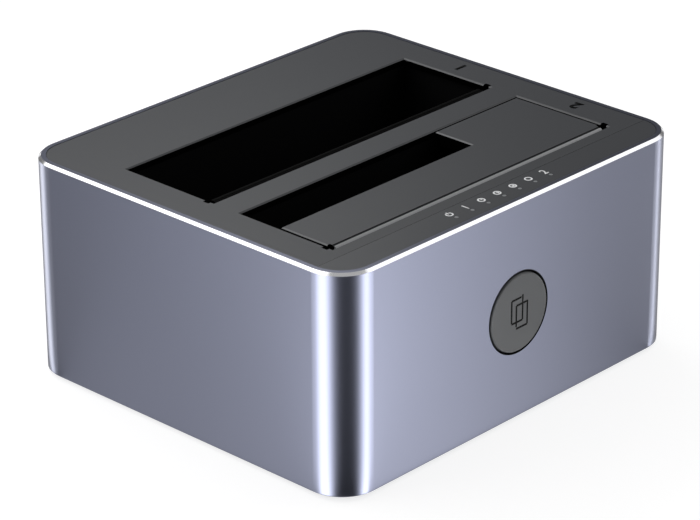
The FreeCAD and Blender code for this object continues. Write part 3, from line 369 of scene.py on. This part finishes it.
def anodised_aluminium():
    """Satin grey anodising, with the diamond-cut chamfer bright, and painted shade, black, round the
    button's opening.
    """
    finish = Finish("anodised_aluminium", tone(*satin_mean), satin_roughness, metallic=1.0)
    grain = finish.grain(2200.0, 0.0015 * MM, drift=14.0)
    slanting = finish.facing()["Slanting"]
    satin = finish.blend(grain.outputs["Drift"], tone(*satin_low), tone(*satin_high))
    cut = finish.blend(slanting, satin, tone(*cut_metal))
    # painted shade: the sleeve's face turns black round the button's hole
    hole_shade = ring_mask(finish, "button_cap", hole_shade_radius)
    finish.join(finish.blend(hole_shade, cut, tone(*hole_painted_shade)), finish.shader.inputs["Base Color"])
    gloss = finish.spread(slanting, satin_roughness, cut_roughness)
    finish.join(gloss, finish.shader.inputs["Roughness"])
    return finish.material


def near(finish, value, middle, reach):
    """A mask of where a value lies within a reach of a middle one."""
    test = finish.add("ShaderNodeMath", operation="COMPARE")
    test.inputs[1].default_value = middle
    test.inputs[2].default_value = reach
    finish.join(value, test.inputs[0])
    return test.outputs["Value"]


def black_walled(name, bevel_highlight_tone, up, flattest, highlight_span=None):
    """The top's grained plastic, with painted shade, matt black, where it turns from the way up by more
    than a share.

    The bevelled ends have a painted highlight, a tone of their own. The last argument is the lowest and
    highest place, along Y, of a paler band of painted highlight.
    """
    finish = Finish(name, tone(*top_plastic), top_roughness)
    finish.grain(top_grain, top_relief)
    normal = finish.add("ShaderNodeTexCoord").outputs["Normal"]
    slope = finish.add("ShaderNodeVectorMath", operation="DOT_PRODUCT")
    slope.inputs[1].default_value = up
    finish.join(normal, slope.inputs[0])
    sideways = finish.add("ShaderNodeSeparateXYZ")
    finish.join(normal, sideways.inputs["Vector"])
    lean = finish.add("ShaderNodeMath", operation="ABSOLUTE")
    finish.join(sideways.outputs["X"], lean.inputs[0])
    # mask of the bevelled ends, which get a painted highlight
    bevel_highlight_mask = near(finish, lean.outputs["Value"], bevel_lean, bevel_tolerance)
    # mask of the walls, which get painted shade
    wall = finish.add("ShaderNodeMapRange")
    wall.inputs["From Min"].default_value = flattest
    wall.inputs["From Max"].default_value = flattest - wall_fade
    finish.join(slope.outputs["Value"], wall.inputs["Value"])
    colour = finish.blend(bevel_highlight_mask, tone(*top_plastic), tone(*bevel_highlight_tone))
    colour = finish.blend(wall.outputs["Result"], colour, tone(*wall_painted_shade))
    # a band of painted highlight along Y
    if highlight_span:
        place = finish.add("ShaderNodeSeparateXYZ")
        finish.join(finish.position(), place.inputs["Vector"])
        highlight_band = near(finish, place.outputs["Y"], (highlight_span[0] + highlight_span[1]) / 2, (highlight_span[1] - highlight_span[0]) / 2)
        colour = finish.blend(highlight_band, colour, tone(*flap_painted_highlight))
    finish.join(colour, finish.shader.inputs["Base Color"])
    # the walls with painted shade are also rough and metallic, so they show no light
    gloss = finish.spread(wall.outputs["Result"], top_roughness, wall_roughness)
    finish.join(gloss, finish.shader.inputs["Roughness"])
    finish.join(wall.outputs["Result"], finish.shader.inputs["Metallic"])
    return finish.material


def smoked_film():
    """The dark satin film over the lights."""
    finish = Finish("smoked_film", tone(*top_plastic), 0.42)
    grain = finish.grain(900.0, 0.0006 * MM)
    finish.join(finish.spread(grain.outputs["Drift"], 0.39, 0.45), finish.shader.inputs["Roughness"])
    return finish.material


def solder_mask():
    """A circuit board: dark green fields with paler lines between them, slightly sunk."""
    finish = Finish("solder_mask", tone(16, 62, 40), 0.34)
    place = finish.position()
    cells = finish.add("ShaderNodeTexVoronoi", feature="DISTANCE_TO_EDGE", distance="EUCLIDEAN")
    cells.inputs["Scale"].default_value = tracks_per_metre
    finish.join(place, cells.inputs["Vector"])
    tracks = finish.add("ShaderNodeMapRange")
    tracks.inputs["From Min"].default_value = track_edge[0]
    tracks.inputs["From Max"].default_value = track_edge[1]
    finish.join(cells.outputs["Distance"], tracks.inputs["Value"])
    colour = finish.blend(tracks.outputs["Result"], tone(30, 96, 60), tone(14, 56, 36))
    finish.join(colour, finish.shader.inputs["Base Color"])
    bump = finish.add("ShaderNodeBump")
    bump.inputs["Strength"].default_value = 1.0
    bump.inputs["Distance"].default_value = track_relief
    finish.join(tracks.outputs["Result"], bump.inputs["Height"])
    finish.join(bump.outputs["Normal"], finish.shader.inputs["Normal"])
    return finish.material


def capacitor_finish():
    """A sleeved can with a bare aluminium top."""
    finish = Finish("capacitor_sleeve", tone(30, 32, 38), 0.4)
    level = finish.facing()["Level"]
    colour = finish.blend(level, tone(30, 32, 38), tone(196, 198, 200))
    finish.join(colour, finish.shader.inputs["Base Color"])
    finish.join(level, finish.shader.inputs["Metallic"])
    return finish.material


def ribbon_finish():
    """A white flat cable with its conductors showing as faint lines."""
    finish = Finish("ribbon_film", tone(226, 226, 220), 0.35)
    lines = finish.add("ShaderNodeTexWave", wave_type="BANDS", bands_direction="X")
    lines.inputs["Scale"].default_value = 160.0
    finish.join(finish.position(), lines.inputs["Vector"])
    colour = finish.blend(lines.outputs["Fac"], tone(228, 228, 222), tone(196, 198, 196))
    finish.join(colour, finish.shader.inputs["Base Color"])
    return finish.material


def clear_acrylic():
    """The light guide: clear, slightly frosted."""
    finish = Finish("clear_acrylic", tone(150, 153, 156), 0.35)
    grain = finish.grain(1500.0, 0.001 * MM)
    finish.join(finish.spread(grain.outputs["Drift"], 0.3, 0.4), finish.shader.inputs["Roughness"])
    finish.set("Transmission Weight", 0.25)
    finish.set("IOR", 1.49)
    return finish.material


def ink(name, colour, specular=0.5):
    """A printed ink, matt with a faint grain."""
    finish = Finish(name, colour, 0.55, specular=specular)
    grain = finish.grain(3000.0, 0.001 * MM)
    finish.join(finish.spread(grain.outputs["Drift"], 0.5, 0.6), finish.shader.inputs["Roughness"])
    return finish.material


def flap_line():
    """Where the closed flap's nose starts to roll over, just in front of its groove: the span of its
    painted highlight.
    """
    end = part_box("flap_2")[0].y + flap_nose
    return end - flap_highlight_width, end


slot_finish = {
    "anodised_sleeve": anodised_aluminium(),
    "black_moulding": moulded("black_moulding", tone(30, 30, 32), 0.55),
    "foot_rubber": moulded("foot_rubber", tone(34, 34, 35), 0.8, relief=0.01 * MM),
    "black_screw": plated("black_screw", tone(52, 52, 55), 0.42),
    # painted shade on the walls, painted highlights on the bevelled ends
    "panel_plastic": black_walled("panel_plastic", panel_bevel_highlight, (0, 0, 1), panel_flattest),
    "film": smoked_film(),
    "clear_guide": clear_acrylic(),
    "circuit_board": solder_mask(),
    "lamp": moulded("lamp_resin", tone(214, 206, 150), 0.3),
    "steel_screw": plated("steel_screw", tone(176, 177, 180), 0.35),
    "bay_plastic": moulded("bay_plastic", tone(5, 5, 6), 0.7, specular=0.1),
    # painted shade on the walls, painted highlights on the bevelled ends and on the nose
    "flap_plastic": black_walled("flap_plastic", flap_bevel_highlight, (0, 0, 1), panel_flattest, flap_line()),
    "pin_steel": plated("pin_steel", tone(190, 191, 194), 0.25),
    "button_plastic": moulded("button_plastic", tone(80, 82, 85), 0.5),
    "plunger_plastic": moulded("plunger_plastic", tone(40, 40, 42), 0.45),
    "socket_plastic": moulded("socket_plastic", tone(22, 22, 23), 0.42),
    "gilt_contact": plated("gilt_contact", tone(222, 184, 96), 0.26),
    "chip_epoxy": moulded("chip_epoxy", tone(34, 34, 36), 0.5),
    "plated_metal": plated("plated_metal", tone(196, 197, 200), 0.28),
    "capacitor_can": capacitor_finish(),
    "ferrite": moulded("ferrite", tone(62, 62, 64), 0.66, relief=0.01 * MM),
    "switch_plastic": moulded("switch_plastic", tone(28, 28, 30), 0.4),
    "rocker_plastic": moulded("rocker_plastic", tone(24, 24, 26), 0.28),
    "lead_insulation": moulded("lead_insulation", tone(150, 26, 22), 0.42),
    "ribbon_film": ribbon_finish(),
    "white_nylon": moulded("white_nylon", tone(222, 220, 210), 0.5),
}
white_ink = ink("white_ink", tone(244, 245, 246))
dark_ink = ink("dark_ink", tone(4, 4, 4), specular=0.05)
# the folded flap: painted shade on all but its face towards +Y, painted highlights on the bevelled ends
folded_flap = black_walled("folded_flap_plastic", flap_bevel_highlight, (0, 1, 0), folded_flap_flattest)
# painted shade, black, inside the copy symbol cut into the button
painted_groove_shade = moulded("painted_groove_shade", tone(5, 5, 5), 0.7, specular=0.1)
# painted shade, a mid-dark tone, inside the grooves behind the flaps' noses, on top of the grooves' own
# shade
flap_groove_painted_shade = moulded("flap_groove_painted_shade", tone(58, 59, 61), 0.7, specular=0.1)


def dress_nodes():
    """Gives every CAD node the finish of its slot."""
    for subpart in frame["record"]["subparts"]:
        materials = frame["nodes"][subpart["node"]].data.materials
        materials.clear()
        materials.append(slot_finish[subpart["material_slot"]])


# Pieces


def new_object(name, data):
    """An object in the scene."""
    item = bpy.data.objects.new(name, data)
    bpy.context.scene.collection.objects.link(item)
    return item


def worked_out(item):
    """The mesh that an object's text or modifiers come to."""
    bpy.context.view_layer.update()
    return bpy.data.meshes.new_from_object(item.evaluated_get(bpy.context.evaluated_depsgraph_get()))


def finish_piece(name, mesh, body, material):
    """A mesh as a piece that rides on a body."""
    piece = new_object(name, mesh)
    mesh.materials.append(material)
    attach(piece, body)
    return piece


def mesh_from(bm, name):
    """Turns a bmesh into a mesh, and frees it."""
    mesh = bpy.data.meshes.new(name)
    bm.to_mesh(mesh)
    bm.free()
    return mesh


def arc_band(bm, inner, outer, start, sweep):
    """A flat band between two radii, round the origin from a start angle."""
    steps = round(abs(sweep) / icon_arc_step)
    whole = abs(sweep) == math.tau
    rungs = []
    for step in range(steps if whole else steps + 1):
        angle = start + sweep * step / steps
        way = Vector((math.cos(angle), math.sin(angle), 0))
        rungs.append((bm.verts.new(inner * way), bm.verts.new(outer * way)))
    if whole:
        rungs.append(rungs[0])
    for (first, second), (third, fourth) in zip(rungs, rungs[1:]):
        bm.faces.new((first, second, fourth, third))


def bar(bm, start, end, width):
    """A flat bar between two points."""
    along = Vector((end[0] - start[0], end[1] - start[1], 0))
    turn = Matrix.Rotation(math.atan2(along.y, along.x), 4, "Z")
    middle = Vector(((start[0] + end[0]) / 2, (start[1] + end[1]) / 2, 0))
    size = Matrix.Diagonal((along.length, width, 1, 1))
    place = Matrix.Translation(middle) @ turn @ size
    bmesh.ops.create_grid(bm, x_segments=1, y_segments=1, size=0.5, matrix=place)


def thicken(bm, depth):
    """Turns a flat drawing into a thin solid that rises along +Z, with its faces in a set order."""
    bmesh.ops.remove_doubles(bm, verts=bm.verts, dist=merge_distance)
    bm.verts.index_update()
    faces = bm.faces[:]
    rim = [edge for edge in bm.edges if edge.is_boundary]
    raised = [bm.verts.new(vert.co + Vector((0, 0, depth))) for vert in bm.verts[:]]
    for face in faces:
        bm.faces.new([raised[vert.index] for vert in face.verts]).smooth = face.smooth
    for edge in rim:
        first, second = edge.verts
        wall = bm.faces.new((first, second, raised[second.index], raised[first.index]))
        wall.smooth = edge.link_faces[0].smooth
    bmesh.ops.recalc_face_normals(bm, faces=bm.faces[:])


def digit(text, height, weight):
    """One digit drawn flat on XY, centred on its own middle."""
    curve = bpy.data.curves.new("digit_" + text, "FONT")
    curve.body = text
    curve.size = height / digit_height_share
    curve.offset = weight
    curve.align_x = "CENTER"
    curve.resolution_u = digit_curve_steps
    holder = new_object("digit_holder", curve)
    flat = worked_out(holder)
    bpy.data.objects.remove(holder)
    bm = bmesh.new()
    bm.from_mesh(flat)
    bpy.data.meshes.remove(flat)
    low = Vector((min(v.co.x for v in bm.verts), min(v.co.y for v in bm.verts), 0))
    high = Vector((max(v.co.x for v in bm.verts), max(v.co.y for v in bm.verts), 0))
    bmesh.ops.translate(bm, verts=bm.verts, vec=-(low + high) / 2)
    return bm


def place_on(bm, matrix):
    """Moves a drawing to its place."""
    bmesh.ops.transform(bm, matrix=matrix, verts=bm.verts)


def power_icon():
    """A broken ring with a bar through its gap."""
    bm = bmesh.new()
    arc_band(bm, icon_radius - icon_line, icon_radius, math.pi / 2 + power_gap, math.tau - 2 * power_gap)
    bar(bm, (0, power_bar_reach[0]), (0, power_bar_reach[1]), icon_line)
    return bm


def progress_icon(quarters):
    """A ring with one to three quarters of it filled, or an empty ring for all four."""
    bm = bmesh.new()
    arc_band(bm, icon_radius - icon_line, icon_radius, 0, math.tau)
    if quarters < 4:
        arc_band(bm, *sector_radii, math.pi / 2, -math.tau * quarters / 4)
    return bm


def light_places():
    """Where the light tips are, from the row of lamps below them."""
    low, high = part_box("indicator_leds")
    first = low.x + led_length / 2
    last = high.x - led_length / 2
    pitch = (last - first) / (light_count - 1)
    return [(first + pitch * i, (low.y + high.y) / 2) for i in range(light_count)]


def make_light_icons():
    """White marks printed on the film behind the light tips."""
    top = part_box("indicator_film")[1].z
    one, two = (digit(text, light_digit_height, light_digit_weight) for text in "12")
    drawings = [power_icon(), one] + [progress_icon(quarters) for quarters in (1, 2, 3, 4)] + [two]
    for i, (bm, (x, y)) in enumerate(zip(drawings, light_places()), start=1):
        thicken(bm, ink_thickness)
        place_on(bm, Matrix.Translation((x, y + icon_setback, top)))
        finish_piece(f"light_icon_{i}", mesh_from(bm, f"light_icon_{i}"), "dock", white_ink)


def make_bay_digits():
    """A dark number at the +X end of each bay, read from that end."""
    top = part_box("top_panel")[1].z
    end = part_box("flap_2")[1].x
    turn = Matrix.Rotation(math.pi / 2, 4, "Z")
    for bay in (1, 2):
        low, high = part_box(f"bay_well_{bay}")
        bm = digit(str(bay), bay_digit_height, bay_digit_weight)
        thicken(bm, ink_thickness)
        place_on(bm, Matrix.Translation((end + bay_digit_inset, (low.y + high.y) / 2, top)) @ turn)
        finish_piece(f"bay_digit_{bay}", mesh_from(bm, f"bay_digit_{bay}"), "dock", dark_ink)


def merged_copy(node):
    """A copy of a CAD node's mesh with its loose triangles joined up."""
    bm = bmesh.new()
    bm.from_mesh(frame["nodes"][node].data)
    bmesh.ops.remove_doubles(bm, verts=bm.verts, dist=merge_distance)
    return bm


def smooth_by_angle(mesh, angle):
    """Smooth shading, but for the edges that turn by more than an angle."""
    for polygon in mesh.polygons:
        polygon.use_smooth = True
    mesh.set_sharp_from_angle(angle=angle)


def copy_symbol():
    """Two overlapping sheets in outline, the rear one broken where the front one covers it.

    Each sheet's left side starts above its lower edge, and its right side ends above its upper one.
    The rear sheet's upper edge stops short.
    """
    bm = bmesh.new()
    sheets = ((-1, symbol_step, symbol_overlap, symbol_gap), (1, symbol_gap, symbol_step, 0))
    for side, start, rise, short in sheets:
        middle = Vector((side * symbol_shift / 2, -side * symbol_shift / 2))
        left = middle.x - symbol_width / 2
        right = middle.x + symbol_width / 2
        low = middle.y - symbol_height / 2
        high = middle.y + symbol_height / 2
        bar(bm, (left, low + start), (left, high), symbol_line)
        bar(bm, (left, high), (right - short, high), symbol_line)
        bar(bm, (right, high + rise), (right, low), symbol_line)
        bar(bm, (left, low), (right, low), symbol_line)
    return bm


def engraved_copy(node, name, body, material, cutter_bm, shade, smooth_angle=None):
    """A joined-up copy of a CAD node with a shape cut out of it, and painted shade inside the cut."""
    mesh = mesh_from(merged_copy(node), name)
    if smooth_angle:
        smooth_by_angle(mesh, smooth_angle)
    piece = finish_piece(name, mesh, body, material)
    cutter = new_object("cutter", mesh_from(cutter_bm, "cutter"))
    cutter.data.materials.append(shade)
    cut = piece.modifiers.new("cut", "BOOLEAN")
    cut.object = cutter
    cut.operation = "DIFFERENCE"
    cut.solver = "EXACT"
    cut.use_self = True
    cut.material_mode = "TRANSFER"
    result = worked_out(piece)
    piece.modifiers.clear()
    piece.data = result
    bpy.data.objects.remove(cutter)
    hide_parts(node)


def make_button_face():
    """The copy button with its symbol cut into the face, and painted shade inside the cut."""
    low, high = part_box("button_cap")
    centre = Vector(((low.x + high.x) / 2, low.y, (low.z + high.z) / 2))
    bars = copy_symbol()
    thicken(bars, 2 * symbol_depth)
    stand = Matrix.Rotation(math.pi / 2, 4, "X")
    place_on(bars, Matrix.Translation(centre + Vector((0, symbol_depth, 0))) @ stand)
    engraved_copy(
        "button_cap", "copy_button_face", "copy_button", slot_finish["button_plastic"],
        bars, painted_groove_shade, button_smooth_angle,
    )


def make_flap_faces():
    """Both flaps, each with the shallow groove that sets off its rounded nose, and painted shade inside
    the groove.
    """
    for bay in (1, 2):
        node = f"flap_{bay}"
        low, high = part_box(node)
        length = high.x - low.x + 2 * flap_groove_overrun
        size = Matrix.Diagonal((length, flap_groove_width, 2 * flap_groove_depth, 1))
        inset = flap_nose + flap_groove_width / 2
        if bay == 1:
            finish = folded_flap
            place = Matrix.Translation((0, high.y, high.z - inset)) @ Matrix.Rotation(math.pi / 2, 4, "X")
        else:
            finish = slot_finish["flap_plastic"]
            place = Matrix.Translation((0, low.y + inset, high.z))
        groove = bmesh.new()
        bmesh.ops.create_cube(groove, size=1)
        place_on(groove, place @ size)
        engraved_copy(node, node + "_face", node, finish, groove, flap_groove_painted_shade)


# Studio


def bare_tree(owner, output):
    """Clears a material's or a world's nodes, and returns them, their joiner and a new output."""
    owner.use_nodes = True
    nodes = owner.node_tree.nodes
    nodes.clear()
    return nodes, owner.node_tree.links.new, nodes.new(output)


def make_floor():
    """A plain white floor that shows as white and keeps the object's shadow."""
    bm = bmesh.new()
    bmesh.ops.create_circle(bm, cap_ends=True, segments=floor_segments, radius=floor_radius)
    floor = new_object("floor", mesh_from(bm, "floor"))
    material = bpy.data.materials.new("white_floor")
    nodes, join, out = bare_tree(material, "ShaderNodeOutputMaterial")
    matt = nodes.new("ShaderNodeBsdfDiffuse")
    matt.inputs["Color"].default_value = (floor_grey, floor_grey, floor_grey, 1)
    path = nodes.new("ShaderNodeLightPath")
    seen = path.outputs["Is Camera Ray"]
    for ray in ("Is Glossy Ray", "Is Transmission Ray"):
        either = nodes.new("ShaderNodeMath")
        either.operation = "MAXIMUM"
        join(seen, either.inputs[0])
        join(path.outputs[ray], either.inputs[1])
        seen = either.outputs["Value"]
    strength = nodes.new("ShaderNodeMath")
    strength.operation = "MULTIPLY"
    strength.inputs[1].default_value = floor_glow
    join(seen, strength.inputs[0])
    glow = nodes.new("ShaderNodeEmission")
    join(strength.outputs["Value"], glow.inputs["Strength"])
    both = nodes.new("ShaderNodeAddShader")
    join(matt.outputs["BSDF"], both.inputs[0])
    join(glow.outputs["Emission"], both.inputs[1])
    join(both.outputs["Shader"], out.inputs["Surface"])
    floor.data.materials.append(material)


def heading(azimuth, elevation=0):
    """The direction at an azimuth and an elevation; azimuth 0 is in front and 90 degrees is on -X."""
    level = Vector((-math.sin(azimuth), -math.cos(azimuth), 0))
    return level * math.cos(elevation) + Vector((0, 0, math.sin(elevation)))


def refined(profile):
    """A list of (place, glow) pairs with even steps put in between them."""
    fine = [profile[0]]
    for (first, start_glow), (last, end_glow) in zip(profile, profile[1:]):
        for step in range(1, card_steps + 1):
            share = step / card_steps
            glow = start_glow + (end_glow - start_glow) * share
            fine.append((first + (last - first) * share, glow))
    return fine


def corner_rows(x, y, profile):
    """Rows of the card round an upright rounded corner, for azimuths in degrees.

    A wall that faces halfway between the camera and an azimuth mirrors one in the other.
    """
    centre = Vector((x, y, card_height))
    rows = []
    for degrees, glow in refined(profile):
        azimuth = math.radians(degrees)
        facing = (azimuth - camera_azimuth) / 2
        rows.append((centre + (corner_radius + card_gap) * heading(facing), heading(azimuth), glow))
    return rows


def face_rows(start, end, facing, profile):
    """Rows of the card along a flat face, for shares of the way from its start to its end."""
    way = heading(2 * facing + camera_azimuth)
    gap = card_gap * heading(facing)
    return [(start.lerp(end, share) + gap, way, glow) for share, glow in refined(profile)]


def make_card():
    """A card lying on the floor round three corners of the sleeve, seen only in gloss.

    Each row runs out from the sleeve the way its wall mirrors the camera's side.
    """
    low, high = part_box("sleeve")
    left = low.x + corner_radius
    right = high.x - corner_radius
    front = low.y + corner_radius
    back = high.y - corner_radius
    left_face = [Vector((low.x, y, card_height)) for y in (back, front)]
    front_face = [Vector((x, low.y, card_height)) for x in (left, right)]
    rows = corner_rows(left, back, left_corner_glow)
    rows += face_rows(*left_face, math.pi / 2, left_face_glow)
    rows += corner_rows(left, front, near_corner_glow)
    rows += face_rows(*front_face, 0, front_face_glow)
    rows += corner_rows(right, front, right_corner_glow)
    places = []
    glows = []
    for start, way, glow in rows:
        places += [start, start + card_reach * way]
        glows += [glow, glow]
    faces = [(i, i + 1, i + 3, i + 2) for i in range(0, len(places) - 2, 2)]
    mesh = bpy.data.meshes.new("corner_card")
    mesh.from_pydata(places, [], faces)
    mesh.attributes.new("glow", "FLOAT", "POINT").data.foreach_set("value", glows)
    material = bpy.data.materials.new("corner_card")
    nodes, join, out = bare_tree(material, "ShaderNodeOutputMaterial")
    level = nodes.new("ShaderNodeAttribute")
    level.attribute_name = "glow"
    shine = nodes.new("ShaderNodeEmission")
    join(level.outputs["Fac"], shine.inputs["Strength"])
    join(shine.outputs["Emission"], out.inputs["Surface"])
    mesh.materials.append(material)
    card = new_object("corner_card", mesh)
    card.visible_camera = False
    card.visible_diffuse = False
    card.visible_shadow = False


def make_lamp(name, azimuth, elevation, distance, width, height, power):
    """A soft box aimed at the middle of the object, with its azimuth and elevation in degrees."""
    light = bpy.data.lights.new(name, "AREA")
    light.shape = "RECTANGLE"
    light.size = width
    light.size_y = height
    light.energy = power
    away = heading(math.radians(azimuth), math.radians(elevation))
    lamp = new_object(name, light)
    lamp.location = lamp_aim + away * distance
    lamp.rotation_mode = "QUATERNION"
    lamp.rotation_quaternion = (-away).to_track_quat("-Z", "Y")


def make_sky():
    """An even soft sky that brightens overhead."""
    world = bpy.data.worlds.new("studio_sky")
    bpy.context.scene.world = world
    nodes, join, out = bare_tree(world, "ShaderNodeOutputWorld")
    split = nodes.new("ShaderNodeSeparateXYZ")
    join(nodes.new("ShaderNodeTexCoord").outputs["Generated"], split.inputs["Vector"])
    rise = nodes.new("ShaderNodeMapRange")
    rise.interpolation_type = "SMOOTHSTEP"
    rise.inputs["From Min"].default_value = sky_rise[0]
    rise.inputs["From Max"].default_value = sky_rise[1]
    rise.inputs["To Min"].default_value = sky_strength[0]
    rise.inputs["To Max"].default_value = sky_strength[1]
    join(split.outputs["Z"], rise.inputs["Value"])
    sky = nodes.new("ShaderNodeBackground")
    join(rise.outputs["Result"], sky.inputs["Strength"])
    join(sky.outputs["Background"], out.inputs["Surface"])


def make_camera():
    """The camera, turned by its azimuth, elevation and a slight roll."""
    camera = bpy.data.cameras.new("camera")
    camera.sensor_width = camera_sensor_width
    camera.lens = camera_lens
    camera.clip_start = camera_clip_start
    holder = new_object("camera", camera)
    back = heading(-camera_azimuth, camera_elevation)
    right = Vector((0, 0, 1)).cross(back).normalized()
    up = back.cross(right)
    turned_right = math.cos(camera_roll) * right + math.sin(camera_roll) * up
    turned_up = math.cos(camera_roll) * up - math.sin(camera_roll) * right
    turn = Matrix((turned_right, turned_up, back)).transposed()
    holder.matrix_world = Matrix.Translation(camera_place) @ turn.to_4x4()
    bpy.context.scene.camera = holder


dress_nodes()
make_light_icons()
make_bay_digits()
make_button_face()
make_flap_faces()
make_floor()
make_card()
for lamp_name, lamp_values in lamps.items():
    make_lamp(lamp_name, *lamp_values)
make_sky()
make_camera()
bpy.context.scene.view_settings.view_transform = "Standard"
